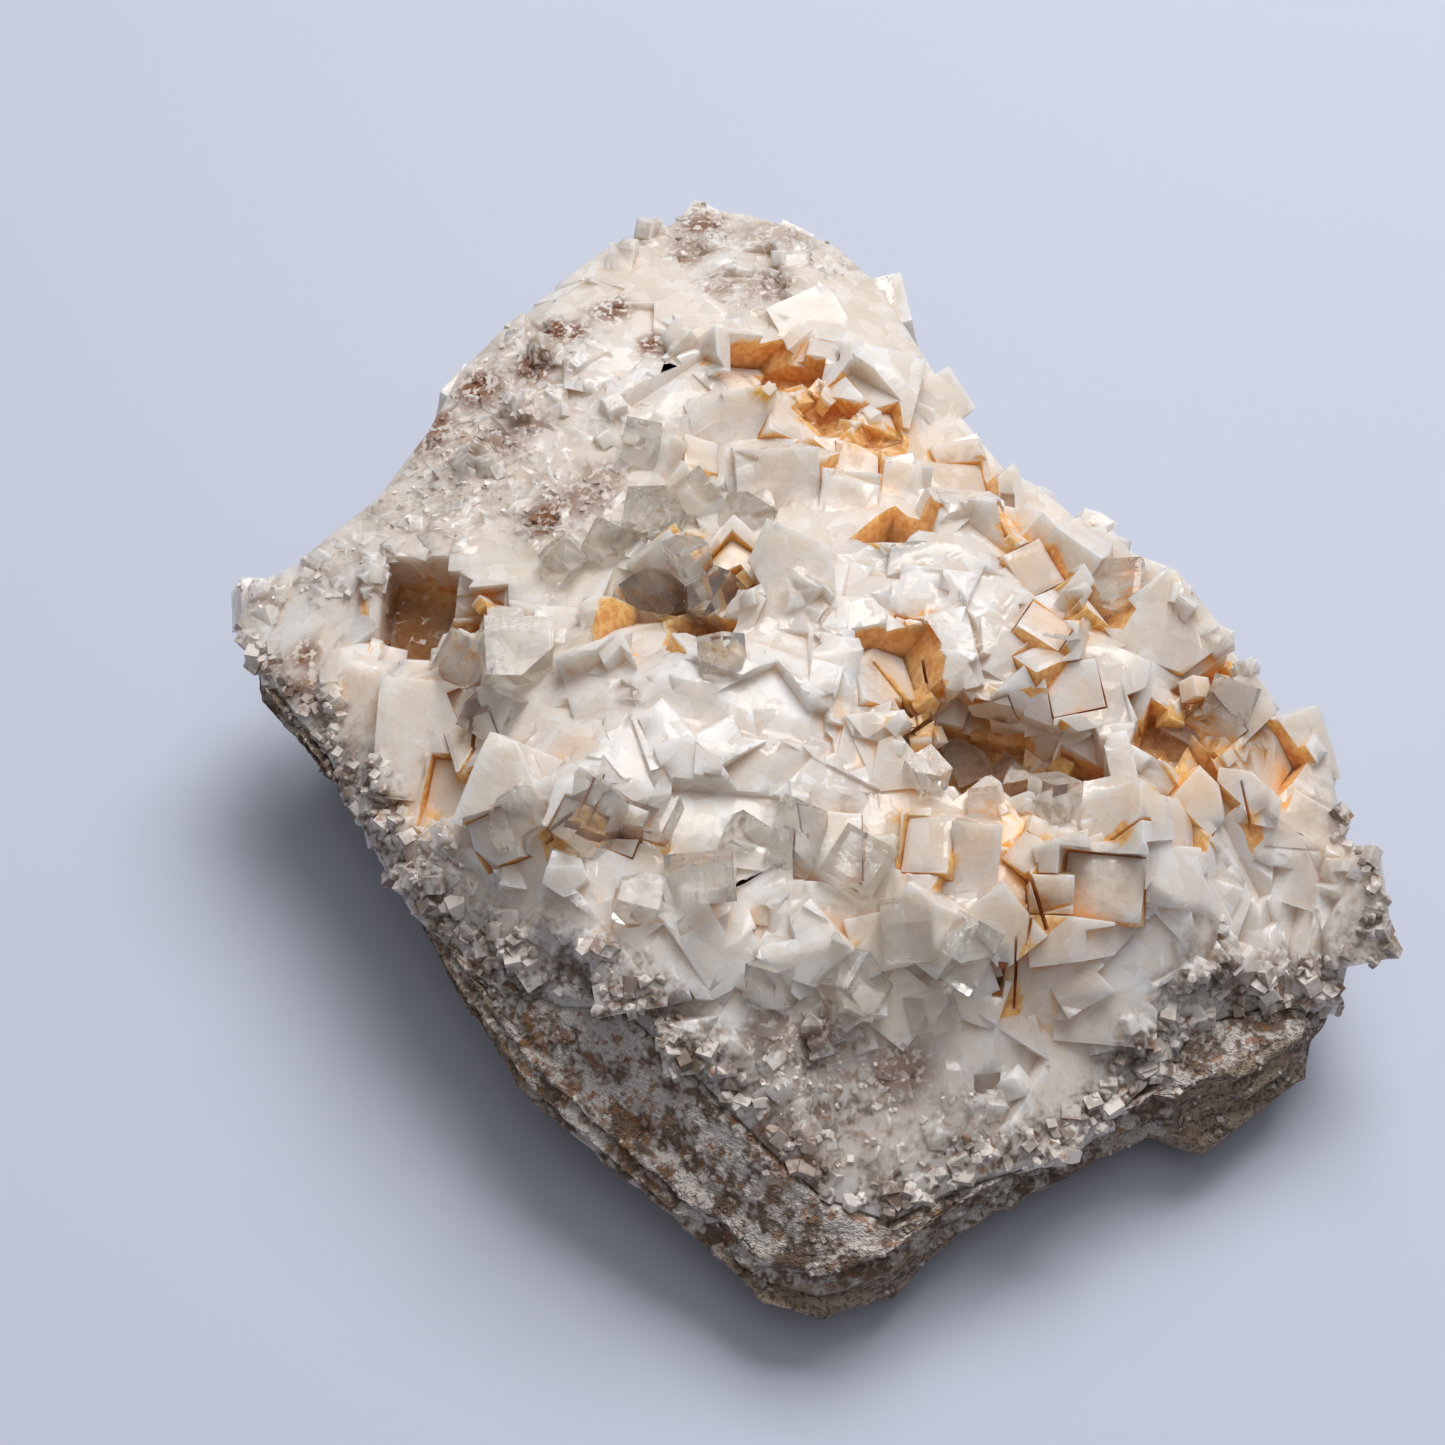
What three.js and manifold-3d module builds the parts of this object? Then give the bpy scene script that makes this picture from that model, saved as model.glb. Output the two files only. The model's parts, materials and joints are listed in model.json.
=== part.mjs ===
// Fluorite specimen: a crust of intergrown fluorite cubes on a slab of layered host rock.
// Millimetres, +Z up. The origin is the middle of the footprint, on the plane the stone rests on.
import * as THREE from 'three';
import { mergeVertices } from 'three/addons/utils/BufferGeometryUtils.js';
import Module from 'manifold-3d';

const wasm = await Module();
wasm.setup();

// ---------------------------------------------------------------- driving dimensions

const GAP = 0.3;            // between the rock and the crust on it
const SECTORS = 48;         // steps round the slab

// The top of the slab.
const RIM_BLEND = 13;       // distance over which the edge height gives way to the survey
const SURVEY_FLAT = 2;      // a survey mark holds its height for about this distance round it
const SURVEY_FALL = 3.2;    // power of the distance by which its weight falls beyond that

// The crust's thickness.
const CRUST_DEEP = 11;      // away from the edge
const CRUST_TAPER = 22;     // distance from the edge over which it gets that thick
const CRUST_THIN = 1.2;     // where it is thinner than this, the rock lies bare
const CRUST_BACK = 2;       // least distance from the edge to where the crust ends
const CRUST_STEP = 0.9;     // width of the step where the crust ends on bare rock

// The rock's underside and wall. An edge is bare rock where its crust is BARE_AT or less, and fully
// crusted from CRUSTED_AT.
const BARE_AT = -1;
const CRUSTED_AT = 2;
const FOOT = 0.56;          // size of the flat foot, as a share of the outline
const FLANK = 0.8;          // where the undercut changes slope, as a share of the outline
const FLANK_RISE = 0.42;    // how far up it has come there, as a share of the lip's height
const FLANK_BEND = 0.4;     // where between foot and flank the underside has one more ring
const FLANK_ROUGH = 0.05;   // unevenness of the flank, as a share of the outline
const LIP_ROUGH = 0.5;
const LIP_IN = 2.5;         // how far the lip stands back under a crusted edge
const WALL_IN = 1.2;        // how far the rock wall stands back there
const BEVEL_IN = 0.9;       // how far the wall leans in where the rock is bare
const LEDGE = 0.6;          // half the step between one layer of the wall and the next
const LUMP = 0.5;           // roughness of the bare rock on top
const WALL_LAYERS = 4;
const BARE_RINGS = 2;
const SEAT_RINGS = 4;       // rings across the seat of the crust

// The massive part of the crust, which is closed under its seat before the rock is cut out of it.
const CRUST_RINGS = 5;      // rings across its top
const BED_UNDER = 2;        // how far it reaches below the seat
const BED_IN = 3;           // how far its lowest ring stands in from the edge
const BED_ROUND = 0.6;      // how far its edge is rounded down
const BED_ROUGH = 0.5;

// Smaller crystals strewn over the crust.
const STREWN = 50;
const STREWN_SMALL = 3;
const STREWN_LARGE = 6.5;
const STREWN_SKEW = 1.6;    // above 1, small ones are more common than large ones
const STREWN_SQUAT = 0.8;   // least depth, as a share of the width
const STREWN_LONG = 1.25;   // greatest depth
const STREWN_OUT = 0.24;    // how far one stands out of the bed, as a share of its width
const STREWN_LEAN = [5, 55];
const STREWN_ROLL = 32;
const STREWN_REACH = 0.97;  // share of the way to the edge over which they are strewn
const STREWN_INNER = 0.02;  // share of the bed round its middle that they leave out
const LARGE_FACE = 7;       // crystals this wide keep their faces clear of strewn ones
const FACE_CLEAR = 0.45;    // to this distance from the face's centre, as a share of its width

// Crystals in the side of the crust.
const RIM_CRUST = 4;        // crust thicker than this shows them
const RIM_EVERY = 2;        // one for every so many steps round the slab
const RIM_SET_IN = 0.3;     // how far one stands in from the edge, as a share of its width
const RIM_DOWN = [0.1, 0.7]; // how far down the side it sits, as a share of the crust there
const RIM_TURN = 30;

const POCKET_MOUTH = 5;     // how far a pocket's cut reaches above the bed

// Edge of the slab seen from above, clockwise from the peak: x, y, height of the lower lip,
// height of the upper rim, and thickness of the crust there. Below zero the rock is bare.
const EDGE = [
  [-9, 58, 14, 25, 6], [-4, 56.5, 14, 25.5, 6], [1.5, 53.5, 13, 26, 6], [7, 49.5, 12, 26, 7],
  [11.5, 40.5, 12, 26, 8], [15.5, 30.5, 11, 26, 8], [20, 21.5, 11, 26, 9], [24, 18.5, 11, 26, 9],
  [28, 13.5, 11, 26, 9], [31, 12, 11, 26.5, 9], [33.5, 8, 10, 26, 9], [36, 4, 10, 26, 9],
  [39.5, -2.5, 9, 26, 10], [43.5, -7.5, 9, 25, 10], [48.5, -10.5, 9, 23, 9], [49, -17.5, 9, 22, 9],
  [50, -23.5, 8, 20, 8], [49, -30, 7, 16, 6], [47.5, -33.5, 6, 13, -0.5], [40.5, -39, 5.5, 13, -3],
  [36.5, -42.5, 5, 13, -2], [31.5, -42, 5.5, 14, 0.5], [22.5, -47.5, 5, 14, 1.5],
  [13, -52.5, 5, 13.5, 1], [5, -58, 4.5, 12, -1.5], [-1, -58, 6, 11, -4], [-7, -54.5, 8.5, 12, -5],
  [-17.5, -46, 11.5, 15, -4.5], [-23.5, -41, 13, 16.5, -2], [-31, -31, 15.5, 19, 0.5],
  [-35.5, -24, 16.5, 20, 1.5], [-41, -15, 17.5, 21, 1.5], [-49, -5.5, 18.5, 22, 0.5],
  [-52.5, 2.5, 18, 22.5, 2], [-52.5, 8, 16, 23, 4], [-46, 12, 14, 24.5, 6], [-39.5, 19, 13, 25, 6],
  [-34.5, 28.5, 13, 26, 6], [-31.5, 37, 13, 26, 6], [-23.5, 45.5, 13, 26, 6],
  [-19.5, 51.5, 14, 25.5, 6], [-15, 53, 14, 25.5, 6],
];

// Survey of the crust's general height: swells and hollows, each x, y, z.
const SURVEY = [
  [-36, -12, 27],   // left lobe
  [-46, 3, 24],     // left tip
  [-32, 7, 28],     // back of the left pocket
  [-27, 26, 27],    // upper left shoulder
  [-19, 29, 29],    // upper white field
  [-9, 49, 27],     // peak
  [6, 38, 28],      // upper right
  [7, 26, 30],      // above the upper pocket
  [-9, 19, 29],     // upper middle
  [18, 18, 27],     // right shoulder
  [12, 3, 33],      // right end of the ridge
  [0, -2, 34],      // middle of the ridge
  [-3, -12, 34],
  [-14, -18, 34],
  [-26, -22, 32],   // left end of the ridge
  [-31, -28, 24],   // lower left slope
  [-15, -33, 30],   // lower band
  [0, -33, 30],
  [-9, -43, 24],    // falling to the lower corner
  [4, -45, 20],
  [17, -43, 19],
  [14, -29, 29],
  [28, -26, 30],    // large corner crystal
  [35, -31, 24],
  [27, -5, 32],     // right crystals
  [39, -10, 29],
  [46, -13, 25],    // right end
  [46, -25, 20],
  [39, -35, 15],    // grainy corner
];

// Crystals that stand out. Each is the place of its upper face, x and y, the rise of that face over
// the bed, its width, depth and height, and its lean to the front, roll to the right and spin in
// degrees.
const CRYSTALS = [
  // round the left pocket
  [-33.5, -12, 0.4, 9, 11, 9, 30, 8, -4],
  [-31, -4.5, 1.6, 3.6, 4, 5, 30, -12, -25],
  [-25.5, -5.5, 0.6, 5, 6, 5, 13, 45, 8],
  [-26.5, -9.5, 0.4, 3.5, 3.5, 4, 30, 15, 30],
  [-42, 5, 0.2, 7, 7, 5, 20, -8, 25],
  [-41, -4, 0.2, 6, 6, 5, 34, -6, 12],
  [-36, -15.5, 0.2, 6, 5, 5, 40, -12, 30],
  [-31, 19, 0.2, 6, 5, 5, 24, -10, 30],
  [-24.5, 25.5, 0.2, 6, 6, 5, 22, -6, 10],
  // ridge, left half
  [-25, -21.5, 0.8, 8, 8.5, 8, 34, -5, -22],
  [-18.5, -24.5, 1.6, 6.2, 4.8, 6, 40, 0, -22],
  [-21.5, -3.5, 0.6, 5, 5.5, 6, 30, 5, -5],
  [-16.5, -3, 0.8, 6, 4.5, 6, 35, 0, -3],
  [-16, -12, 0.8, 9, 9, 8, 34, -4, 20],
  [-9.5, -13.5, 1, 10, 9, 9, 34, -8, 12],
  [-12.5, -20, 0.8, 6.6, 7.6, 7, 38, -10, 44],
  [-8.5, -22, 0.8, 9, 8, 8, 44, -4, 26],
  // ridge, right half
  [-1.5, -13.5, 0.8, 9, 8, 8, 36, 4, -16],
  [-2.5, -21, 0.4, 8, 7, 7, 42, 6, -8],
  [2.5, -21.5, 0.4, 6, 6, 6, 44, 8, 20],
  [4, -10.5, 0.8, 7, 6.6, 7, 32, 8, 34],
  [6, -6, 0.8, 6, 7, 7, 34, 6, 50],
  [7, -17.5, 1.2, 7.6, 7, 8, 24, 14, 8],
  [0, -2, 1.2, 10.4, 9.6, 10, 34, -2, -24],
  [14, -2.5, 1, 10, 6.6, 9, 34, 2, -8],
  [13.5, 2.5, 1.2, 10, 5.2, 7, 24, 4, -10],
  [13, -8, 2.2, 5.6, 7.2, 8, 38, -2, 13],
  [19, -3, 1, 6.6, 8, 8, 32, 20, 22],
  [19.5, -7.5, 0.8, 4.6, 4.6, 6, 38, 18, -30],
  // behind the ridge
  [-13.5, 13, 0.4, 4.4, 4, 5, 30, -14, 38],
  [-10, 14.5, 0.4, 4, 4.4, 5, 44, 16, 52],
  [-17, 8, 0.4, 4, 3.6, 4, 30, 10, 15],
  [-20.5, 6.5, 0.4, 3.6, 4, 4, 40, -10, 60],
  [-16.5, 21.5, 0.4, 5, 4.6, 5, 34, -6, 20],
  [-12, 23, 0.4, 5.6, 4.6, 6, 32, -10, 32],
  [-7.5, 34, 0.2, 6, 5, 5, 20, -6, 12],
  [2, 38, 0.4, 7, 6, 6, 18, 6, 28],
  [8, 27.5, 1.2, 9, 8, 9, 26, 4, -15],
  [-5.5, 22.5, 1, 8.6, 6.6, 8, 40, -4, 9],
  [-1.5, 12.5, 1, 7.8, 9, 8, 44, 3, 2],
  [5, 11.5, 0.2, 5.4, 6.4, 6, 36, 4, -6],
  [10.5, 14, 0.4, 4.6, 6, 6, 34, 0, -8],
  [16.5, 20, 0.4, 5, 5.6, 6, 32, 12, 18],
  [15, 29, 0.4, 5, 5, 6, 24, 16, 35],
  [21, 16.5, 0.6, 4.4, 4.4, 5, 26, 20, 42],
  // right side
  [24.5, 6.5, 0.6, 6, 5.6, 6, 30, 6, 15],
  [29, 5.5, 0.8, 6, 5.6, 6, 28, 12, 38],
  [32.5, 5.5, 0.4, 5, 5, 5, 26, 16, -15],
  [25, -1, 0.8, 5, 5, 6, 34, -4, 30],
  [33.5, -3.5, 2.2, 8.6, 9.4, 8, 33, 4, 38],
  [21.5, -12, 2, 6.2, 6.2, 7, 37, 2, 43],
  [24, -14.5, 0.4, 4.4, 4.4, 5, 34, -8, -20],
  [27, -17, 0.8, 5, 5, 6, 34, 4, 12],
  [39, -10, 1, 6.6, 7, 8, 34, 10, 34],
  [46, -11.5, 0.8, 6, 7, 7, 30, 22, 18],
  [40, -18, 0.8, 6, 4.6, 6, 30, 4, -8],
  [46, -19.5, 0.8, 6, 6, 7, 28, 16, -26],
  [44, -25, 0.4, 6, 6, 6, 26, 12, 20],
  [49.5, -26.5, 2.2, 6, 9.4, 8, 36, 12, 9],
  // front slope
  [34, -25, 1.5, 14, 10, 14, 13, 45, 0],
  [22.5, -28.5, 2.2, 4.8, 4.4, 6, 40, -8, 14],
  [23, -33, 1, 7.6, 5.4, 7, 42, -2, 6],
  [31, -32, 0.4, 7, 6, 7, 36, 4, 22],
  [12.5, -28.5, 1, 8.6, 8.6, 8, 42, -2, -5],
  [26.5, -37, 0.8, 9, 5.2, 6, 40, 2, -5],
  [34, -32, 0.4, 5.6, 5, 5, 34, 10, 30],
  [24, -35.5, 0.4, 5, 4.4, 5, 34, -6, 30],
  [40, -30, 0.4, 6, 5, 5, 30, 8, -20],
  [-9.5, -32.5, 1, 9, 7.4, 8, 36, -4, 22],
  [-3.5, -30.5, 0.8, 7, 6.4, 7, 40, 6, -12],
  [4.5, -29.5, 0.8, 8, 6.6, 8, 36, 2, 8],
  [-18.5, -31.5, 0.8, 8, 7, 7, 38, -8, -15],
  [-7, -36, 0.8, 7, 6, 6, 40, 4, 28],
  [-14, -37, 0.8, 8, 7, 7, 36, -6, 10],
  [-7.5, -42, 0.4, 9, 4.6, 5, 44, 0, 6],
  [14.5, -37, 0.4, 6, 4.4, 5, 40, 8, -20],
  [18.5, -39.5, 0.4, 5, 4.6, 5, 40, -4, 18],
  [2, -39.5, 0.4, 5, 4.4, 5, 38, -6, 35],
  [-32.5, -22, 0.4, 5, 5, 5, 40, -14, 20],
  [-25.5, -25.5, 0.4, 3, 3.4, 4, 36, 8, 38],
  [0, -36.5, 0.4, 6.4, 5.6, 6, 40, -6, 44],
  [6.5, -34.5, 0.4, 5, 5, 5, 34, 10, 12],
  [17, -33, 0.4, 5, 6, 6, 40, -10, 40],
  [-22.5, -32.5, 0.4, 6, 5, 5, 36, -6, 34],
  [8.5, -38.5, 0.4, 5.6, 5, 5, 40, 6, 50],
];

// Angular pockets in the crust: x, y, depth, width and length of the mouth, lean, roll and spin.
const POCKETS = [
  [-35, 0, 7, 6, 10, 20, 0, -8],      // left pocket
  [-29.5, 0.5, 4, 6, 2.6, 24, 0, 5],
  [-13, -2.5, 5, 9, 3.4, 30, 0, -18], // middle pocket
  [-8, -4.5, 4, 3, 4.5, 34, 0, -20],
  [-6, 1.5, 4, 3, 1.6, 30, 0, -40],
  [-10, 6.5, 2.5, 2, 2.4, 30, 0, 20],
  [-0.5, 27.5, 4, 6.5, 4.5, 26, 0, -10], // upper pocket
  [3.5, 23.5, 3.5, 6, 2.8, 30, 0, -20],
  [14, -17.5, 6, 7.5, 7.5, 26, 0, 38], // right pocket
  [18.5, -17.5, 7, 8.5, 7, 26, 0, -20],
  [23.5, -19, 5, 7, 4.6, 30, 0, 12],
  [32.5, -14, 3.6, 4.6, 6, 28, 0, 22],  // stained pocket
  [36.5, -10, 3, 5, 3, 28, 0, 36],
  [22, -5, 2.5, 4, 1, 36, 0, 3],      // crevices
  [20.5, 12.5, 2.5, 1.4, 2, 30, 0, 0],
  [-14, -27, 2.4, 3.6, 1.8, 40, 0, -20],
  [-30, -13.5, 2, 1.2, 1.8, 36, 0, 0],
  [17, -37.5, 2, 1, 3.4, 40, 0, -8],
  [16, -45, 2, 2.4, 2, 40, 0, 0],
];

// Small crystals inside the pockets, written as CRYSTALS is.
const POCKET_CRYSTALS = [
  [-36, -3.5, -3.6, 3, 3, 3, 30, -10, 20],
  [-33, -4, -3.2, 2.6, 2.6, 3, 40, 8, 50],
  [-37.5, 1.5, -3, 3, 7, 4, 20, 24, -6],
  [-12, 1.5, 2.2, 5.2, 5.2, 6, 46, -4, 40],
  [-7.5, 0.5, 1.2, 4.2, 5, 5, 52, 12, 33],
  [-7.5, -6, 0, 2.6, 3.6, 4, 50, 8, 25],
  [-5, -4, 0.8, 2.8, 4, 5, 40, -12, -22],
  [-5, 3, 1.6, 5.6, 4, 4, 28, 6, -42],
  [-0.5, 28.5, -1.8, 3.6, 2.6, 4, 36, 0, -8],
  [3, 25, -1.6, 3, 3, 4, 30, 12, 30],
  [12, -18, -5, 5, 4.4, 5, 40, -16, 30],
  [16, -20, -5.4, 4.6, 4.6, 5, 34, 10, 52],
  [20, -18.5, -4, 4.4, 4, 5, 40, 20, 12],
  [14.5, -16, -6, 5, 5, 5, 34, 0, 15],
  [12, -14, -1.4, 2.6, 2.6, 4, 50, -20, 35],
  [15, -14, -1.4, 2.6, 3, 4, 50, 5, 20],
  [18, -14.5, -1.6, 2.4, 2.6, 4, 46, 12, 46],
  [32, -14, -1.6, 3, 3, 4, 38, 4, 20],
  [35.5, -12.5, -1.4, 3.4, 3, 4, 44, -4, 40],
  [-15, -26.5, -0.6, 3, 3, 3, 45, 0, -20],
];

// Scoops and pits in the rock: x, y, z, then the half sizes of the hollow and its spin.
const HOLLOWS = [
  [37, -43.5, 12, 5, 4.5, 6, 20],     // scoop in the front wall
  [-20, -46.5, 15, 4, 1.6, 2, -40],   // pits along the lower left edge
  [-8, -54, 11.5, 3.4, 2, 2.4, -35],
  [-46.5, -6, 21, 1.6, 1.2, 1.4, 0],
  [-51, 0, 17, 2, 1.4, 1.6, 70],
];

// ---------------------------------------------------------------- small helpers

const { clamp, lerp, inverseLerp, smoothstep, degToRad } = THREE.MathUtils;
const WELD = 1e-4;

// Repeatable random numbers from 0 to 1, by the usual 32-bit linear congruence.
function dice(seed) {
  let state = seed;
  return () => {
    state = (state * 1664525 + 1013904223) >>> 0;
    return state / 2 ** 32;
  };
}

// A closed geometry as a solid that can be joined and cut.
function solid(geometry) {
  const bare = geometry.clone();
  bare.deleteAttribute('normal');
  bare.deleteAttribute('uv');
  const merged = mergeVertices(bare, WELD);
  const vertProperties = new Float32Array(merged.attributes.position.array);
  const triVerts = new Uint32Array(merged.index.array);
  return new wasm.Manifold(new wasm.Mesh({ numProp: 3, vertProperties, triVerts }));
}

// The largest connected body of a solid, as a named mesh. Chips that a cut leaves loose are dropped.
function nodeFrom(name, body, material) {
  const parts = body.decompose();
  parts.sort((a, b) => b.volume() - a.volume());
  const mesh = parts[0].getMesh();
  const geometry = new THREE.BufferGeometry();
  geometry.setAttribute('position', new THREE.BufferAttribute(mesh.vertProperties, 3));
  geometry.setIndex(new THREE.BufferAttribute(mesh.triVerts, 1));
  geometry.computeVertexNormals();
  const node = new THREE.Mesh(geometry, material);
  node.name = name;
  return node;
}

// A closed body from rings of points, each clockwise from above, run from under the body,
// out over its edge and in across its top, and closed by a middle point at each end.
function ringBody(rings, bottom, top) {
  const points = [bottom, ...rings.flat(), top];
  const count = rings[0].length;
  const last = points.length - 1;
  const at = (ring, k) => 1 + ring * count + (k % count);
  const index = [];
  for (let k = 0; k < count; k++) {
    index.push(0, at(0, k), at(0, k + 1));
    index.push(last, at(rings.length - 1, k + 1), at(rings.length - 1, k));
    for (let r = 0; r + 1 < rings.length; r++) {
      index.push(at(r, k), at(r + 1, k + 1), at(r, k + 1));
      index.push(at(r, k), at(r + 1, k), at(r + 1, k + 1));
    }
  }
  const geometry = new THREE.BufferGeometry().setFromPoints(points);
  geometry.setIndex(index);
  return solid(geometry);
}

// ---------------------------------------------------------------- the slab's form

// Evenly spaced steps along EDGE. One closed curve runs through its places, and another, in step
// with it, through its lips, rims and crust thicknesses.
function edgeStations() {
  const closed = (points) => new THREE.CatmullRomCurve3(points, true);
  const plan = closed(EDGE.map(([x, y]) => new THREE.Vector3(x, y, 0)));
  const levels = closed(EDGE.map(([, , lip, rim, crust]) => new THREE.Vector3(lip, rim, crust)));
  return Array.from({ length: SECTORS }, (_, k) => {
    const { x, y } = plan.getPoint(k / SECTORS);
    const level = levels.getPoint(k / SECTORS);
    const bearing = Math.atan2(y, x);
    const reach = Math.hypot(x, y);
    return { x, y, bearing, reach, lip: level.x, rim: level.y, crust: level.z };
  });
}

const STATIONS = edgeStations();

// General height of the top at a place, from the survey marks around it.
function survey(x, y) {
  let sum = 0;
  let weight = 0;
  for (const [mx, my, mz] of SURVEY) {
    const w = 1 / Math.hypot(x - mx, y - my, SURVEY_FLAT) ** SURVEY_FALL;
    sum += w * mz;
    weight += w;
  }
  return sum / weight;
}

// Height of the top at a share of the way from the middle to a station.
function topHeight(station, share) {
  const inward = (1 - share) * station.reach;
  const inner = survey(station.x * share, station.y * share);
  return lerp(station.rim, inner, smoothstep(inward, 0, RIM_BLEND));
}

// Thickness of the crust there; below CRUST_THIN there is none.
function crustThickness(station, share) {
  const inward = (1 - share) * station.reach;
  return lerp(station.crust, CRUST_DEEP, Math.min(1, inward / CRUST_TAPER));
}

// Share of the way to the edge at which the crust ends.
function crustEnd(station) {
  const spare = (CRUST_THIN - station.crust) / (CRUST_DEEP - station.crust);
  const inward = Math.max(CRUST_BACK, spare * CRUST_TAPER);
  return 1 - inward / station.reach;
}

// Height of the bed at any place inside the edge.
function bedHeight(x, y) {
  const bearing = Math.atan2(y, x);
  const clockwise = (from, to) => THREE.MathUtils.euclideanModulo(from - to, 2 * Math.PI);
  const nextTo = (k) => STATIONS[(k + 1) % SECTORS];
  const k = STATIONS.findIndex((s, i) =>
    clockwise(s.bearing, bearing) <= clockwise(s.bearing, nextTo(i).bearing));
  const [a, b] = [STATIONS[k], nextTo(k)];
  const t = clockwise(a.bearing, bearing) / clockwise(a.bearing, b.bearing);
  const inward = lerp(a.reach, b.reach, t) - Math.hypot(x, y);
  return lerp(lerp(a.rim, b.rim, t), survey(x, y), smoothstep(inward, 0, RIM_BLEND));
}

const place = (station, share, z) => new THREE.Vector3(station.x * share, station.y * share, z);

// ---------------------------------------------------------------- host rock

// The layered rock: a flat foot, an undercut flank, a wall of thin ledges, bare lumpy rock along
// the lower edge and the seat under the crust. With a margin it is the space that the crust avoids.
function hostRock(margin) {
  const roll = dice(11);
  const ring = (make) => STATIONS.map((s) => make(s, 2 * roll() - 1));
  const crusted = (s) => clamp(inverseLerp(BARE_AT, CRUSTED_AT, s.crust), 0, 1);
  const grow = (s) => margin / s.reach;
  const lipIn = (s) => LIP_IN * crusted(s);
  const rimIn = (s) => lerp(BEVEL_IN, WALL_IN, crusted(s));
  const rockTop = (s, share) => topHeight(s, share) - Math.max(0, s.crust) + margin;
  const seatEdge = (s) => crustEnd(s) + CRUST_STEP / s.reach;

  // underside: foot, bend, flank and lip
  const flankBottom = FLANK_BEND * FLANK_RISE;
  const rings = [
    ring((s) => place(s, FOOT + grow(s), -margin)),
    ring((s, r) => {
      const share = lerp(FOOT, FLANK, FLANK_BEND) + FLANK_BEND * FLANK_ROUGH * r;
      return place(s, share + grow(s), flankBottom * s.lip - margin);
    }),
    ring((s, r) => {
      const share = FLANK + FLANK_ROUGH * r;
      return place(s, share + grow(s), (FLANK_RISE - FLANK_ROUGH * r) * s.lip - margin);
    }),
    ring((s, r) => {
      const inward = lipIn(s) - LIP_ROUGH * r;
      return place(s, 1 - inward / s.reach + grow(s), s.lip + LIP_ROUGH * r - margin);
    }),
  ];
  // wall, its layers stepping out and in by turns
  for (let layer = 1; layer <= WALL_LAYERS; layer++) {
    const up = layer / (WALL_LAYERS + 1);
    const side = layer % 2 ? 1 : -1;
    rings.push(ring((s, r) => {
      const inward = lerp(lipIn(s), rimIn(s), up) - side * LEDGE * (1 + r);
      return place(s, 1 - inward / s.reach + grow(s), lerp(s.lip, rockTop(s, 1) - margin, up));
    }));
  }
  // bare top, from the rim to the edge of the seat
  rings.push(STATIONS.map((s) => {
    const share = 1 - rimIn(s) / s.reach;
    return place(s, share + grow(s), rockTop(s, share));
  }));
  for (let n = 1; n <= BARE_RINGS; n++) {
    rings.push(ring((s, r) => {
      const share = lerp(1 - rimIn(s) / s.reach, seatEdge(s), n / (BARE_RINGS + 1));
      return place(s, share, rockTop(s, share) + LUMP * r * (1 - crusted(s)));
    }));
  }
  rings.push(STATIONS.map((s) => place(s, seatEdge(s), rockTop(s, seatEdge(s)))));
  // seat of the crust
  for (let n = 0; n < SEAT_RINGS; n++) {
    rings.push(STATIONS.map((s) => {
      const share = crustEnd(s) * (1 - n / SEAT_RINGS);
      const cover = Math.max(CRUST_THIN, crustThickness(s, share));
      return place(s, share, topHeight(s, share) - cover + margin);
    }));
  }
  const middle = new THREE.Vector3(0, 0, survey(0, 0) - CRUST_DEEP + margin);
  return ringBody(rings, new THREE.Vector3(0, 0, -margin), middle);
}

// ---------------------------------------------------------------- fluorite crust

// The massive part of the crust, which the crystals grow from.
function crustBed() {
  const roll = dice(23);
  const edge = (s) => (s.crust > CRUST_THIN ? 1 : crustEnd(s));
  const seat = (s, share) =>
    topHeight(s, share) - Math.max(CRUST_THIN, crustThickness(s, share));
  const rings = [
    STATIONS.map((s) => place(s, crustEnd(s) - BED_IN / s.reach, seat(s, crustEnd(s)) - BED_UNDER)),
    STATIONS.map((s) => place(s, edge(s), seat(s, edge(s)))),
    STATIONS.map((s) => place(s, edge(s), topHeight(s, edge(s)) - BED_ROUND)),
  ];
  for (let n = 1; n < CRUST_RINGS; n++) {
    rings.push(STATIONS.map((s) => {
      const share = edge(s) * (1 - n / CRUST_RINGS);
      return place(s, share, topHeight(s, share) + share * BED_ROUGH * (2 * roll() - 1));
    }));
  }
  const top = new THREE.Vector3(0, 0, survey(0, 0));
  return ringBody(rings, new THREE.Vector3(0, 0, top.z - CRUST_DEEP - BED_UNDER), top);
}

// A turned box whose upper face is centred on a point.
function crystal(point, size, lean, roll, spin) {
  const box = new THREE.BoxGeometry(...size).translate(0, 0, -size[2] / 2);
  const turn = new THREE.Euler(degToRad(lean), degToRad(roll), degToRad(spin), 'XYZ');
  box.applyQuaternion(new THREE.Quaternion().setFromEuler(turn));
  return solid(box.translate(point.x, point.y, point.z));
}

function placedCrystals(rows) {
  return rows.map(([x, y, rise, width, depth, height, lean, roll, spin]) => {
    const point = new THREE.Vector3(x, y, bedHeight(x, y) + rise);
    return crystal(point, [width, depth, height], lean, roll, spin);
  });
}

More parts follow.
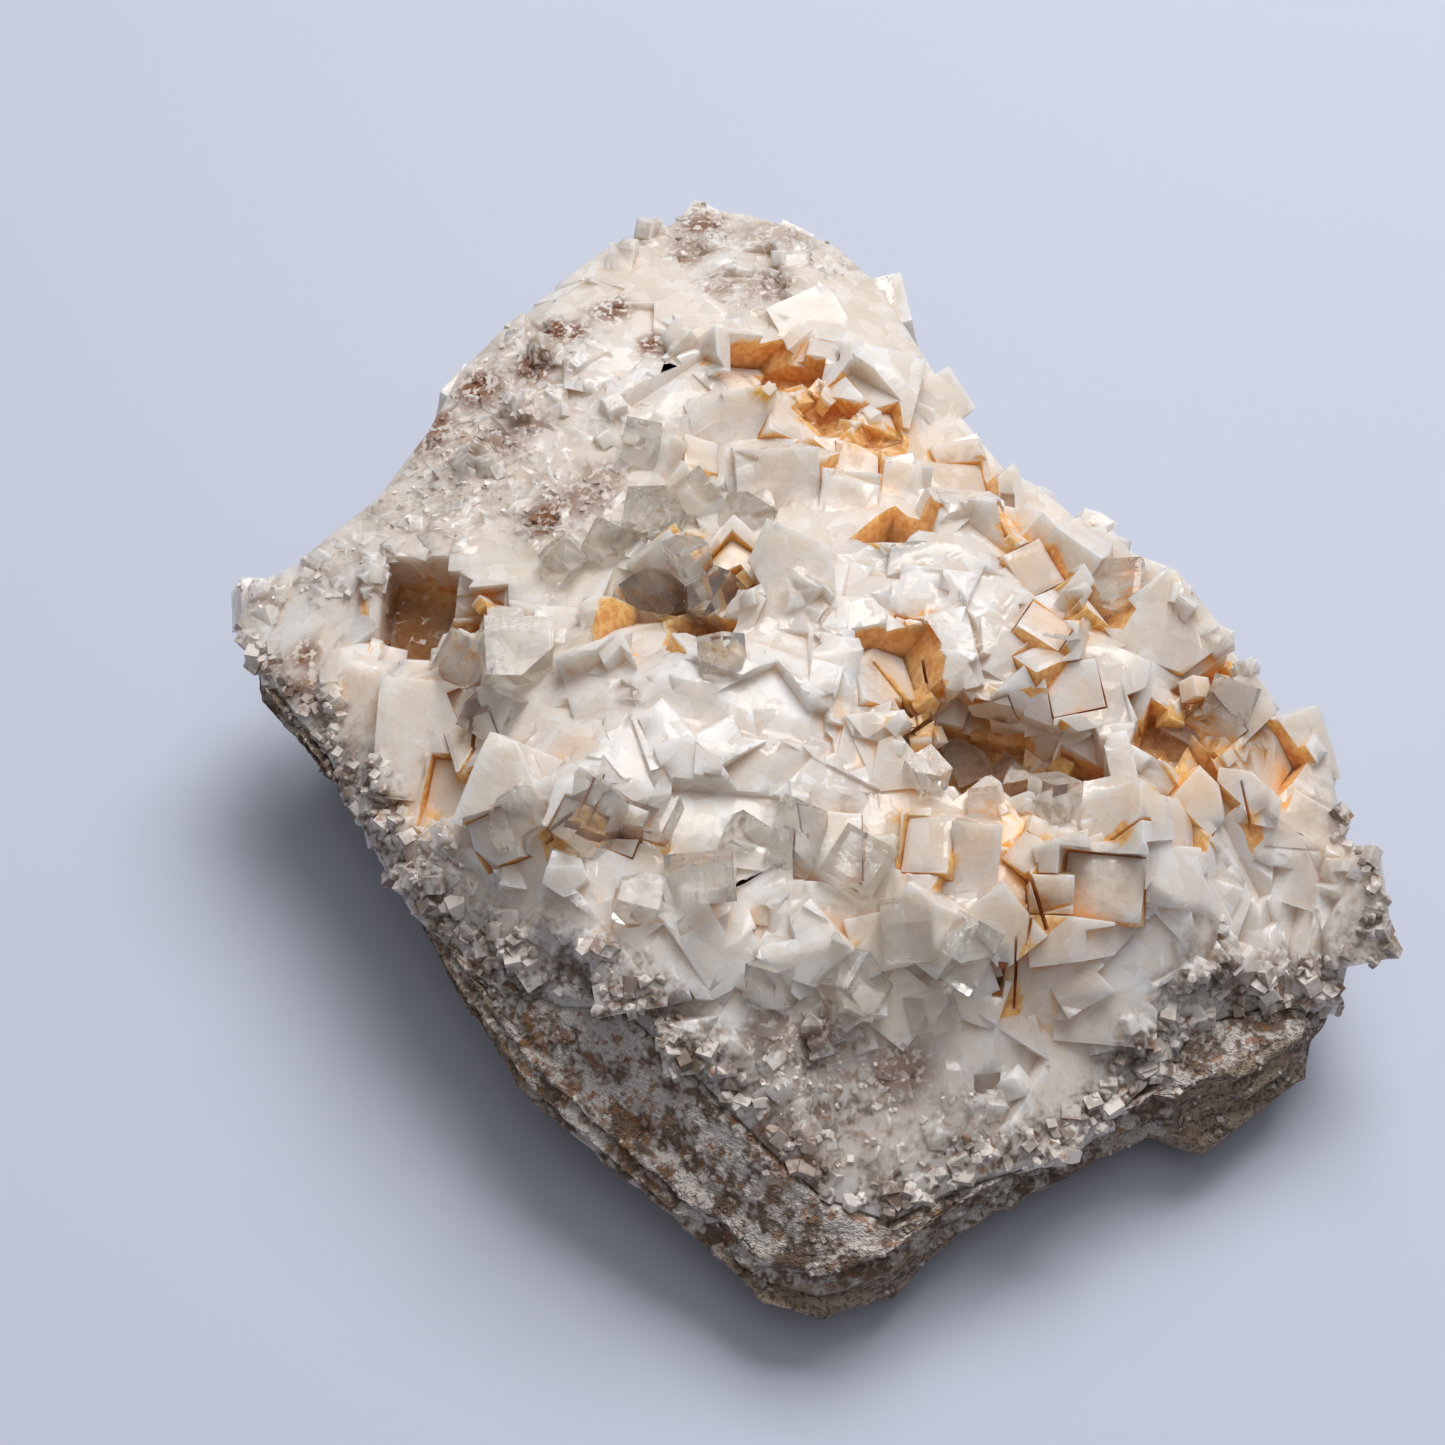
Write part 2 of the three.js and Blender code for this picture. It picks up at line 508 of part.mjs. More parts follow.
// Smaller crystals strewn over the bed. None sits on a large crystal's face or on bare rock.
function strewnCrystals() {
  const roll = dice(37);
  const found = [];
  for (let n = 0; n < STREWN; n++) {
    const station = STATIONS[Math.floor(roll() * SECTORS)];
    const share = Math.sqrt(lerp(STREWN_INNER, 1, roll())) * STREWN_REACH;
    const size = lerp(STREWN_SMALL, STREWN_LARGE, roll() ** STREWN_SKEW);
    const depth = size * lerp(STREWN_SQUAT, STREWN_LONG, roll());
    const lean = lerp(...STREWN_LEAN, roll());
    const tilt = lerp(-STREWN_ROLL, STREWN_ROLL, roll());
    const spin = 90 * roll();
    const point = place(station, share, topHeight(station, share) + STREWN_OUT * size);
    const bare = share > crustEnd(station) && station.crust < CRUST_THIN;
    const onFace = CRYSTALS.some(([x, y, , width]) =>
      width >= LARGE_FACE && Math.hypot(x - point.x, y - point.y) < FACE_CLEAR * width);
    if (!bare && !onFace) found.push(crystal(point, [size, depth, size], lean, tilt, spin));
  }
  return found;
}

// Crystals that stand out of the side of the crust, where it comes to the edge of the slab.
function rimCrystals() {
  const roll = dice(53);
  const crusted = STATIONS.filter((s) => s.crust > RIM_CRUST);
  return crusted.filter((s, k) => k % RIM_EVERY === 0).map((station) => {
    const size = lerp(STREWN_SMALL, STREWN_LARGE, roll());
    const down = lerp(...RIM_DOWN, roll()) * station.crust;
    const point = place(station, 1 - RIM_SET_IN * size / station.reach, station.rim - down);
    const lean = RIM_TURN * roll();
    const tilt = lerp(-RIM_TURN, RIM_TURN, roll());
    return crystal(point, [size, size, size], lean, tilt, 90 * roll());
  });
}

// The whole crust: bed and crystals grown together, the pockets cut in, and their small crystals.
function crust() {
  let body = crustBed();
  const grown = [...placedCrystals(CRYSTALS), ...strewnCrystals(), ...rimCrystals()];
  for (const one of grown) body = body.add(one);
  for (const [x, y, depth, width, length, lean, roll, spin] of POCKETS) {
    const mouth = new THREE.Vector3(x, y, bedHeight(x, y) + POCKET_MOUTH);
    body = body.subtract(crystal(mouth, [width, length, depth + POCKET_MOUTH], lean, roll, spin));
  }
  for (const one of placedCrystals(POCKET_CRYSTALS)) body = body.add(one);
  return body.subtract(hostRock(GAP));
}

// A rough lump of stone to be cut away from the rock.
function hollow([x, y, z, halfX, halfY, halfZ, spin]) {
  const lump = new THREE.IcosahedronGeometry(1, 1).scale(halfX, halfY, halfZ);
  return solid(lump.rotateZ(degToRad(spin)).translate(x, y, z));
}

// ---------------------------------------------------------------- materials and assembly

const hostRockMaterial = new THREE.MeshStandardMaterial({ color: 0x6b5b4c, roughness: 0.92, metalness: 0 });
const fluoriteMaterial = new THREE.MeshStandardMaterial({ color: 0xd8cec4, roughness: 0.25, metalness: 0 });

const specimen = new THREE.Group();
const rock = HOLLOWS.reduce((body, row) => body.subtract(hollow(row)), hostRock(0));
specimen.add(nodeFrom('host_rock', rock, hostRockMaterial));
specimen.add(nodeFrom('fluorite_crust', crust(), fluoriteMaterial));

// The footprint is centred on the origin.
const middle = new THREE.Box3().setFromObject(specimen).getCenter(new THREE.Vector3());
specimen.position.set(-middle.x, -middle.y, 0);

export default specimen;
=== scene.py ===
"""Fluorite specimen: a crust of intergrown fluorite cubes on a slab of layered host rock."""

import json
import math
import random

import bpy
import numpy as np
from bpy.props import FloatProperty, FloatVectorProperty, IntProperty, PointerProperty
from mathutils import Euler, Matrix, Vector
from mathutils.bvhtree import BVHTree

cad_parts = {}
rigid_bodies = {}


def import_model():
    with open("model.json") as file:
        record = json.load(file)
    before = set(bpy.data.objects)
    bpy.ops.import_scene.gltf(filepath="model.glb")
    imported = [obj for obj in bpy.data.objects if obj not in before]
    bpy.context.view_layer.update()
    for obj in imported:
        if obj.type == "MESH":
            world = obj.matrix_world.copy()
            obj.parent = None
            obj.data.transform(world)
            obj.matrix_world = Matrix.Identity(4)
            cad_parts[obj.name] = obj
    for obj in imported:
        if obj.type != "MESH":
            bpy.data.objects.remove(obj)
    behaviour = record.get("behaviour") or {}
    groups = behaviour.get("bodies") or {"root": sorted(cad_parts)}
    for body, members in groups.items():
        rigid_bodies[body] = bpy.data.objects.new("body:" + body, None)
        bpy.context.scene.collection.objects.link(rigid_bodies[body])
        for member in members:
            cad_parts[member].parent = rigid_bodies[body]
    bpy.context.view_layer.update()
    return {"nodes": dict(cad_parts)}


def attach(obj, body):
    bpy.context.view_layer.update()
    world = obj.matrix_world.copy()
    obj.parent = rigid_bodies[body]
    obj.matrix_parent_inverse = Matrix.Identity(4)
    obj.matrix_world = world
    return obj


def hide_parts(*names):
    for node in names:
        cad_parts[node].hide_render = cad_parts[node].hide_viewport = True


bl_info = {
    "name": "Fluorite Specimen",
    "version": (1, 0, 0),
    "blender": (4, 5, 0),
    "location": "3D View > Sidebar > Specimen",
    "description": "Dresses the packed fluorite specimen with crystals, rock layers and a studio",
    "category": "Add Mesh",
}

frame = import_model()

MM = 0.001
SEED = 7

MERGED = 0.001 * MM         # vertices nearer to each other than this are made one
CLEAR_MERGED = 0.02 * MM    # the same for the clear crystals
CRUST_STEP = 2.2 * MM       # longest edge of the crust's mesh
RIM_HELD = 1.2 * MM         # tiny crystals keep this far from the crust's rim
FLOOR_UNDER = 0.2 * MM      # how far the floor lies under the plane that the specimen rests on
ZONE_END = 1.6              # a mark's zone ends this many radii from its middle
GOLDEN_ANGLE = 2.4          # spreads rays evenly round a direction
FLUORITE_IOR = 1.434

# The least crust that each kind of cut leaves under itself.
LEFT_UNDER = {"opening": 1.6 * MM, "break": 2.2 * MM, "socket": 2.5 * MM}

# The side of the camera's picture, in the steps that the marks below are given in, and the width
# of its sensor in millimetres. The camera looks at the target.
PICTURE = 1445
SENSOR = 36
TARGET = Vector((-6.1, -6.0, 20.0)) * MM

# Each lamp's place, size in metres and power in watts.
LAMPS = {"key": ((0.13, 0.29, 0.65), 0.45, 5.3), "fill": ((0.02, -0.22, 0.72), 0.5, 1.1)}

# Zones of the crust. Each mark is a place in the camera's picture, counted from its upper left
# corner, the radius of the zone round it in millimetres, and its strength.
STAIN = {
    "left pocket": [
        (393, 625, 3.2, 1), (440, 600, 3.2, 0.9), (480, 615, 2.2, 0.9), (440, 650, 3, 0.5),
        (478, 705, 1.8, 0.8), (474, 740, 2, 0.8), (450, 775, 2.2, 0.7), (425, 820, 3, 0.5),
        (350, 700, 4, 0.35), (320, 660, 3, 0.45), (470, 770, 4, 0.25),
    ],
    "middle pocket": [
        (620, 604, 1.6, 0.8), (655, 620, 2, 0.9), (700, 630, 2.4, 0.8), (722, 650, 1.6, 1),
        (695, 540, 2, 0.9), (730, 565, 2.4, 0.9), (690, 455, 2, 0.6),
    ],
    "upper pocket": [
        (745, 385, 2, 0.6), (800, 375, 3.4, 1), (775, 395, 2.4, 0.9), (810, 415, 3, 1),
        (850, 435, 3, 1), (900, 440, 2.4, 0.9), (830, 460, 2.2, 0.5), (940, 445, 3, 0.45),
        (960, 470, 3.5, 0.4), (890, 470, 2, 0.5),
    ],
    "right shoulder": [
        (1000, 515, 2.4, 0.8), (1020, 540, 2.4, 0.6), (885, 530, 2.5, 0.4), (1020, 570, 1.6, 0.8),
        (1045, 620, 1.8, 0.8), (1090, 620, 2, 0.6), (915, 620, 1.5, 0.7), (1130, 590, 2.4, 0.45),
    ],
    "right pocket": [
        (880, 670, 1.6, 0.8), (900, 700, 2.4, 1), (935, 715, 2.6, 1), (985, 715, 2.4, 1),
        (1000, 745, 2.6, 0.9), (1060, 670, 2, 0.5), (1090, 700, 2, 0.7), (985, 790, 3, 0.5),
        (910, 810, 2.4, 0.6), (960, 830, 3, 0.7), (1010, 840, 3, 0.8), (1090, 780, 3, 0.8),
        (930, 745, 3, 0.6), (960, 770, 3, 0.5), (1020, 785, 3, 0.5),
    ],
    "stained pocket": [
        (1220, 665, 1.6, 1), (1195, 690, 2.4, 1), (1160, 730, 3.2, 0.9), (1220, 740, 3.2, 0.9),
        (1255, 740, 2.4, 1), (1275, 770, 2, 0.9), (1200, 770, 3, 0.8), (1150, 795, 2.4, 0.6),
        (1180, 810, 2, 0.6), (1290, 800, 2, 0.6), (1320, 840, 3, 0.3),
    ],
    "front seams": [
        (1030, 870, 2.2, 0.9), (1045, 905, 2, 1), (1075, 900, 1.6, 0.8), (1130, 885, 2.4, 0.4),
        (1035, 930, 2.4, 0.8), (1020, 960, 2, 0.8), (1010, 1000, 1.8, 0.8), (1060, 960, 4, 0.4),
        (1060, 1010, 2.5, 0.3), (830, 820, 1.6, 0.6), (860, 880, 2, 0.4), (740, 915, 2, 0.3),
        (855, 920, 2.4, 0.35), (625, 920, 2.4, 0.35), (860, 730, 3, 0.3),
    ],
    "under the ridge": [
        (500, 832, 2.5, 0.5), (545, 835, 2, 0.5), (575, 745, 1.5, 0.7), (575, 835, 1.6, 0.7),
        (625, 830, 1.6, 0.9), (650, 845, 2, 0.6), (680, 860, 1.4, 0.7),
    ],
}
RUST = {
    "upper left": [
        (560, 335, 2.6, 1), (535, 365, 2, 0.9), (480, 390, 2.2, 1), (610, 310, 2, 0.9),
        (655, 345, 1.6, 1), (437, 425, 1.8, 0.9), (425, 440, 2, 0.8), (500, 435, 2.4, 0.6),
        (530, 425, 1.4, 0.7),
    ],
    "peak": [(700, 225, 1.8, 0.9), (690, 250, 2, 0.6), (775, 235, 3, 0.4), (770, 290, 2.6, 0.6),
             (720, 285, 2, 0.5)],
    "left tip": [(275, 562, 3, 0.9), (305, 655, 1.4, 0.9), (310, 690, 1.8, 0.7)],
    "grey hollow": [(545, 520, 1.8, 1), (580, 500, 2.4, 0.6), (600, 480, 2.4, 0.5)],
    "lower edge": [
        (525, 1035, 2, 0.9), (555, 1055, 2, 0.8), (615, 1085, 3, 0.8), (640, 1130, 4, 0.6),
        (770, 1030, 2, 0.6), (900, 1070, 2.4, 0.7), (820, 1040, 2, 0.6), (785, 1150, 3, 0.5),
    ],
}
MILKY = {
    "upper field": [(610, 345, 3, 0.6), (640, 410, 5, 0.9), (560, 300, 4, 0.5), (850, 370, 5, 0.8),
                    (720, 270, 5, 0.6)],
    "left lobe": [(300, 620, 5, 0.9), (340, 560, 4, 0.6), (370, 690, 3, 0.6)],
    "ridge": [(700, 690, 6, 0.8), (640, 750, 7, 0.9), (720, 780, 6, 1), (800, 760, 5, 0.8),
              (820, 690, 6, 0.8), (950, 600, 5, 1), (1000, 600, 4, 0.7), (1050, 705, 4, 1)],
    "front slope": [
        (700, 920, 5, 0.9), (770, 930, 5, 1), (600, 960, 5, 0.6), (520, 960, 5, 0.8),
        (720, 1000, 6, 0.9), (1150, 950, 5, 0.9), (1270, 880, 5, 0.8), (1180, 860, 3, 0.9),
        (1000, 1110, 4, 0.5),
    ],
}
CLEAR = {
    "gem crystals": [(665, 590, 3, 1), (712, 590, 2.4, 1), (475, 650, 2, 0.8), (525, 655, 3, 0.8)],
    "grey band": [(660, 520, 3, 0.9), (600, 560, 3, 0.6), (540, 560, 3, 0.5), (640, 440, 4, 0.5),
                  (700, 475, 2, 0.7), (770, 520, 3, 0.4)],
    "right pocket": [(970, 760, 4, 1), (1020, 790, 3, 1), (1050, 790, 3, 0.7), (1200, 745, 2, 0.6)],
    "front slope": [(560, 850, 2.4, 0.8), (650, 830, 3, 0.9), (790, 830, 3, 0.6),
                    (870, 860, 4, 0.6), (860, 990, 4, 0.6), (950, 960, 3.5, 0.5),
                    (700, 820, 2.5, 0.5), (900, 940, 3, 0.5), (1120, 600, 3, 0.4)],
}
# Dark brown zones in the pockets' depths and in the joints, marked in the same way: partly the
# stain's own dark brown, partly painted shade where these hollows lie in shadow.
DEEP_BROWN_AND_SHADE = {
    "left pocket": [(408, 625, 3.4, 1), (428, 640, 4, 1), (455, 622, 2.4, 0.8)],
    "middle pocket": [(640, 605, 1.4, 0.7), (700, 628, 1.8, 0.8), (722, 600, 1.4, 0.8)],
    "right pocket": [(925, 735, 3, 0.3), (965, 745, 3, 0.4), (1000, 775, 3, 0.25)],
    "stained pocket": [(1155, 735, 2, 0.3), (1210, 700, 1.6, 0.3)],
    "joints": [(1036, 905, 1.2, 0.6), (474, 735, 1.2, 0.7), (625, 838, 1.4, 0.8)],
}
SUGARY = {
    "upper left flank": [(480, 430, 7, 0.5), (450, 490, 6, 0.45), (560, 505, 5, 0.45),
                         (640, 520, 3, 0.35), (400, 500, 5, 0.4), (520, 350, 6, 0.35),
                         (560, 280, 5, 0.3), (340, 560, 5, 0.3), (590, 420, 4, 0.2)],
    "left rim": [(270, 700, 4, 0.5), (250, 600, 3, 0.4), (290, 540, 4, 0.3)],
    "peak": [(700, 220, 6, 0.4), (830, 250, 5, 0.35), (620, 240, 5, 0.3), (760, 200, 5, 0.35),
             (760, 290, 4, 0.2)],
    "lower edge": [(620, 1110, 6, 0.9), (700, 1170, 6, 0.9), (560, 1060, 4, 0.7),
                   (820, 1080, 5, 0.8), (860, 1100, 4, 0.7), (800, 1150, 5, 0.6),
                   (900, 1180, 5, 0.35), (960, 1140, 5, 0.35), (430, 880, 4, 0.5),
                   (1245, 1015, 4, 0.6), (1290, 1000, 4, 0.6)],
}

# Zones of the bare rock that are pale and sugary, in the same way.
PALE = {
    "front left wall": [(545, 1060, 4, 0.6), (600, 1110, 5, 0.8), (660, 1150, 5, 0.9),
                        (720, 1200, 5, 0.8), (790, 1230, 5, 0.9), (850, 1250, 4, 0.8),
                        (620, 1060, 5, 0.9), (700, 1120, 5, 0.9), (790, 1180, 5, 0.9)],
}

# Clear crystals: the place of each in the camera's picture, its width in millimetres, and how
# many degrees a face leans off the line to the camera.
GEMS = {
    "left pocket": [(516, 658, 6.2, 30), (470, 664, 4.4, 38), (500, 716, 4.5, 26)],
    "middle pocket": [(663, 592, 4.8, 34), (712, 596, 4.6, 44), (722, 655, 3, 40),
                      (690, 560, 3.4, 40)],
    "ridge foot": [(588, 818, 5.6, 22), (655, 828, 4, 38), (795, 838, 4.2, 40), (742, 840, 3.4, 30),
                   (520, 815, 4.4, 30)],
    "front slope": [(700, 880, 4.4, 34), (862, 872, 5, 40), (905, 930, 4, 28), (960, 950, 4.4, 36),
                    (850, 985, 4, 44), (640, 900, 3.6, 30), (770, 985, 3.2, 40),
                    (930, 1010, 3.4, 36)],
    "right pocket": [(955, 770, 4.4, 24), (1010, 790, 4, 40), (1052, 800, 3.2, 30),
                     (925, 775, 3, 34), (985, 812, 2.6, 30)],
    "stained pocket": [(1178, 742, 3, 34), (1230, 700, 3.4, 30), (1120, 600, 4.4, 30)],
    "grey band": [(560, 560, 3.4, 40), (610, 545, 3.6, 30), (655, 515, 4, 34), (700, 500, 3.6, 40),
                  (640, 450, 4, 30), (745, 515, 3.4, 36)],
}

# Blocks cut out of the crust to open its pockets and joints: the middle of the mouth and its
# width and height in the camera's picture, the turn in degrees, and the depth in millimetres.
POCKETS = {
    "left pocket": [(418, 622, 66, 66, 6, 8), (462, 626, 50, 36, -8, 5)],
    "middle pocket": [(655, 606, 62, 20, 12, 4), (702, 628, 60, 26, 22, 5),
                      (735, 588, 34, 30, -30, 4)],
    "upper pocket": [(790, 384, 70, 24, 12, 2), (822, 412, 66, 28, 30, 2.4),
                     (868, 438, 60, 20, 14, 2)],
    "right pocket": [(930, 735, 50, 56, -20, 7), (975, 765, 84, 60, 10, 7),
                     (1030, 790, 70, 44, -14, 6), (1075, 775, 50, 26, 30, 4)],
    "stained pocket": [(1160, 735, 46, 50, 24, 4), (1205, 690, 80, 18, -34, 3),
                       (1236, 748, 84, 14, -14, 3)],
}
JOINTS = {
    "right front": [(1036, 902, 4, 44, -18, 3), (1064, 912, 44, 3, -14, 2.5),
                    (1024, 940, 3, 30, 14, 2), (1012, 985, 3, 36, 8, 2)],
    "under the ridge": [(604, 838, 70, 6, 12, 3), (560, 830, 36, 4, -30, 3),
                        (640, 842, 40, 4, 18, 2.5), (590, 800, 3, 40, 24, 2)],
    "left": [(474, 720, 4, 56, 4, 3), (458, 775, 4, 40, 30, 2)],
    "right ridge": [(893, 688, 4, 50, -36, 3), (925, 690, 3, 50, -6, 2.5),
                    (1070, 622, 50, 4, -4, 2), (905, 622, 30, 3, 20, 1.5)],
    "upper": [(1000, 520, 5, 30, -12, 3)],
    "right": [(1245, 812, 3, 40, -10, 2), (1130, 830, 40, 3, -20, 2)],
}


# ------------------------------------------------------------------------------ settings

def length(name, description, default):
    return FloatProperty(name=name, description=description, default=default * MM,
                         min=0.0, subtype="DISTANCE", unit="LENGTH", precision=5)


def colour(name, description, default):
    return FloatVectorProperty(name=name, description=description, default=default,
                               subtype="COLOR", min=0.0, max=1.0)


class CrustSettings(bpy.types.PropertyGroup):
    count: IntProperty(name="Intergrown crystals", default=860, min=0,
                       description="How many crystals fill the crust between its largest ones")
    smallest: length("Smallest crystal", "Width of the smallest intergrown crystal", 3.2)
    largest: length("Largest crystal", "Width of the largest intergrown crystal", 9.5)
    spread: length("Spread", "Reach of the smoothing that gives the crust's general level", 4.4)
    proud: length("Standing out", "How far a crystal may top the crust's general level", 0.1)
    sunk: length("Lying low", "How far a crystal's top may lie under that level", 1.6)
    ringed: IntProperty(name="Ringed crystals", default=60, min=0,
                        description="How many stained crystals have an open joint round them")
    gap: length("Joint", "Width of the open joint round a ringed crystal", 0.14)
    lining: IntProperty(name="Lining crystals", default=1500, min=0,
                        description="How many tiny crystals line pockets, sides and sugary rims")
    breaks: IntProperty(name="Breaks", default=300, min=0,
                        description="How many cleavage breaks cut the crystals' tops off")
    wobble: length("Uneven faces", "How far the faces stray from flat", 0.18)
    milky: colour("Milky white", "Colour of the fractured white masses", (0.76, 0.73, 0.71))
    cream: colour("Cream", "Colour of the common crystals", (0.76, 0.67, 0.595))
    grey: colour("Grey", "Colour of the clear crystals, seen deep", (0.66, 0.59, 0.48))
    stain: colour("Iron stain", "Colour of the stain in joints and pockets", (0.88, 0.44, 0.1))
    rust: colour("Rust", "Colour of the rusty specks", (0.20, 0.08, 0.035))


class RockSettings(bpy.types.PropertyGroup):
    step: length("Mesh step", "Longest edge of the rock's mesh", 1.0)
    layer: length("Layers", "How far the layers of the wall stand in and out", 0.5)
    lump: length("Lumps", "How far the lumps of the rock stand out", 1.0)
    grains: IntProperty(name="Grains", default=3600, min=0,
                        description="How many places on the bare rock are tried for a grain")
    sugar: IntProperty(name="Sugary grains", default=14000, min=0,
                       description="How many places on the crust are tried for a grain")
    rim: IntProperty(name="Rim grains", default=900, min=0,
                     description="How many coarse grains hide where the crust thins out")
    brown: colour("Brown", "Colour of the rock's dark layers", (0.11, 0.078, 0.056))
    tan: colour("Tan", "Colour of the rock's pale grains", (0.40, 0.31, 0.235))


class StageSettings(bpy.types.PropertyGroup):
    lens: FloatProperty(name="Lens", default=70.1, min=1.0, unit="CAMERA",
                        description="Focal length on a 36 mm wide picture")
    elevation: FloatProperty(name="Elevation", default=math.radians(54), subtype="ANGLE",
                             description="Height of the camera over the horizon")
    distance: length("Distance", "From the camera to the point it looks at", 262)
    floor: colour("Floor", "Colour of the floor", (0.52, 0.55, 0.655))


# ------------------------------------------------------------------------------ tools

def only(piece):
    """Selects one piece and makes it active."""
    if bpy.context.mode != "OBJECT":
        bpy.ops.object.mode_set(mode="OBJECT")
    bpy.ops.object.select_all(action="DESELECT")
    piece.select_set(True)
    bpy.context.view_layer.objects.active = piece


def edit(piece, *steps):
    """Runs edit mode steps on a piece with all of it selected."""
    only(piece)
    bpy.ops.object.mode_set(mode="EDIT")
    bpy.ops.mesh.select_all(action="SELECT")
    for step in steps:
        step()
    bpy.ops.object.mode_set(mode="OBJECT")


def apply(piece, kind, **values):
    """Puts a modifier on a piece and applies it."""
    only(piece)
    modifier = piece.modifiers.new(kind.title(), kind)
    for name, value in values.items():
        setattr(modifier, name, value)
    bpy.ops.object.modifier_apply(modifier=modifier.name)


def discard(objects):
    for one in objects:
        bpy.data.objects.remove(one)


def drop_doubled_slivers():
    """Deletes faces with no area that lie along other faces' edges, in edit mode."""
    bpy.ops.mesh.select_mode(type="EDGE")
    bpy.ops.mesh.select_all(action="DESELECT")
    bpy.ops.mesh.select_non_manifold()
    bpy.ops.mesh.select_mode(type="FACE")
    bpy.ops.mesh.delete(type="FACE")


def copy_of(node, name):
    """A merged copy of a CAD node, as a new piece."""
    piece = bpy.data.objects.new(name, frame["nodes"][node].data.copy())
    bpy.context.scene.collection.objects.link(piece)
    piece.data.materials.clear()
    edit(piece,
         lambda: bpy.ops.mesh.remove_doubles(threshold=MERGED),
         drop_doubled_slivers)
    return piece


def select_edges_over(piece, longest):
    """Selects the edges longer than a length, in edit mode. Returns how many there are."""
    bpy.ops.object.mode_set(mode="OBJECT")
    mesh = piece.data
    places = positions(mesh)
    ends = gathered(mesh.edges, "vertices", 2, np.int32)
    over = np.linalg.norm(places[ends[:, 0]] - places[ends[:, 1]], axis=1) > longest
    mesh.vertices.foreach_set("select", np.zeros(len(mesh.vertices), bool))
    mesh.polygons.foreach_set("select", np.zeros(len(mesh.polygons), bool))
    mesh.edges.foreach_set("select", over)
    bpy.ops.object.mode_set(mode="EDIT")
    bpy.ops.mesh.select_mode(type="EDGE")
    return int(over.sum())


def subdivide_to(piece, longest, rounds=6):
    """Cuts every edge longer than a length in half until none is left."""
    def cut():
        for _ in range(rounds):
            if not select_edges_over(piece, longest):
                break
            bpy.ops.mesh.subdivide(number_cuts=1)
            bpy.ops.mesh.select_all(action="SELECT")
            bpy.ops.mesh.quads_convert_to_tris(quad_method="BEAUTY", ngon_method="BEAUTY")
    edit(piece, cut)


def gathered(items, name, width, kind=np.float32):
    """One value of each vertex, edge, corner or face, as an array with a row for each."""
    flat = np.empty(len(items) * width, kind)
    items.foreach_get(name, flat)
    return flat.reshape(-1, width)


def positions(mesh):
    return gathered(mesh.vertices, "co", 3)


def clouds(name, size, depth=2):
    """A cloud texture with features of a size in millimetres."""
    texture = bpy.data.textures.new(name, "CLOUDS")
    texture.noise_scale = size * MM
    texture.noise_depth = depth
    return texture


def displace(piece, texture, strength, squash=None):
    """Moves a piece's surface in and out by a texture. A squash flattens the texture in layers."""
    coordinates = {"texture_coords": "LOCAL"}
    if squash:
        bpy.ops.object.empty_add()
        guide = bpy.context.object
        guide.scale = squash
        bpy.context.view_layer.update()
        coordinates = {"texture_coords": "OBJECT", "texture_coords_object": guide}
    apply(piece, "DISPLACE", texture=texture, strength=strength, mid_level=0.5, **coordinates)
    if squash:
        discard([guide])


def finish_piece(piece, material, node):
    """Gives a piece its material and body, and hides the CAD node that it stands for, if any."""
    piece.data.materials.clear()
    piece.data.materials.append(material)
    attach(piece, "root")
    if node:
        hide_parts(node)


# ------------------------------------------------------------------------------ zones

def camera_axes():
    """The camera's place, and its directions to the right, up and ahead."""
    stage = bpy.context.scene.specimen_stage
    back = Vector((0, -math.cos(stage.elevation), math.sin(stage.elevation)))
    eye = TARGET + back * stage.distance
    ahead = (TARGET - eye).normalized()
    right = Vector((1, 0, 0))
    return eye, right, right.cross(ahead), ahead


def picture_steps():
    """Steps of the picture to one unit across, at one unit's distance."""
    return PICTURE * bpy.context.scene.specimen_stage.lens / SENSOR


def picture_scale():
    """Steps of the picture to a metre at the specimen."""
    return picture_steps() / bpy.context.scene.specimen_stage.distance


def sight_line(u, v):
    """The camera's place, and the direction from it through a place in its picture."""
    eye, right, up, ahead = camera_axes()
    steps = picture_steps()
    return eye, (ahead + right * ((u - PICTURE / 2) / steps)
                 - up * ((v - PICTURE / 2) / steps)).normalized()


def picture_place(place):
    """Where a place shows in the camera's picture."""
    eye, right, up, ahead = camera_axes()
    away = place - eye
    steps = picture_steps() / away.dot(ahead)
    return PICTURE / 2 + away.dot(right) * steps, PICTURE / 2 - away.dot(up) * steps


def marks_in(groups):
    """All marks of a table, one after another."""
    return [mark for group in groups.values() for mark in group]


def zone(places, groups, surfaces):
    """How strongly each place belongs to a zone, from 0 to 1. A mark lies where the camera's
    sight line through it first meets one of the surfaces. Round it the zone is even for 0.6 of
    its radius, and then fades."""
    value = np.zeros(len(places), np.float32)
    for u, v, radius, strength in marks_in(groups):
        eye, direction = sight_line(u, v)
        hits = [hit for hit in (s.ray_cast(eye, direction) for s in surfaces) if hit[0]]
        if not hits:
            continue
        middle = np.array(min(hits, key=lambda hit: hit[3])[0], np.float32)
        away = np.linalg.norm(places - middle, axis=1) / (radius * MM)
        near = np.clip(ZONE_END - away, 0, 1)
        value = np.maximum(value, strength * near * near * (3 - 2 * near))
    return value


def zone_of_spots(spots, groups, surfaces):
    """The same for a list of places with their normals."""
    return zone(np.array([place for place, _ in spots], np.float32), groups, surfaces)


def store(piece, name, values, domain="POINT"):
    """Keeps a value for each vertex, corner or face, for a material to read."""
    attribute = piece.data.attributes.new(name, "FLOAT", domain)
    attribute.data.foreach_set("value", np.asarray(values, np.float32))


def tree_of(piece):
    return BVHTree.FromObject(piece, bpy.context.evaluated_depsgraph_get())


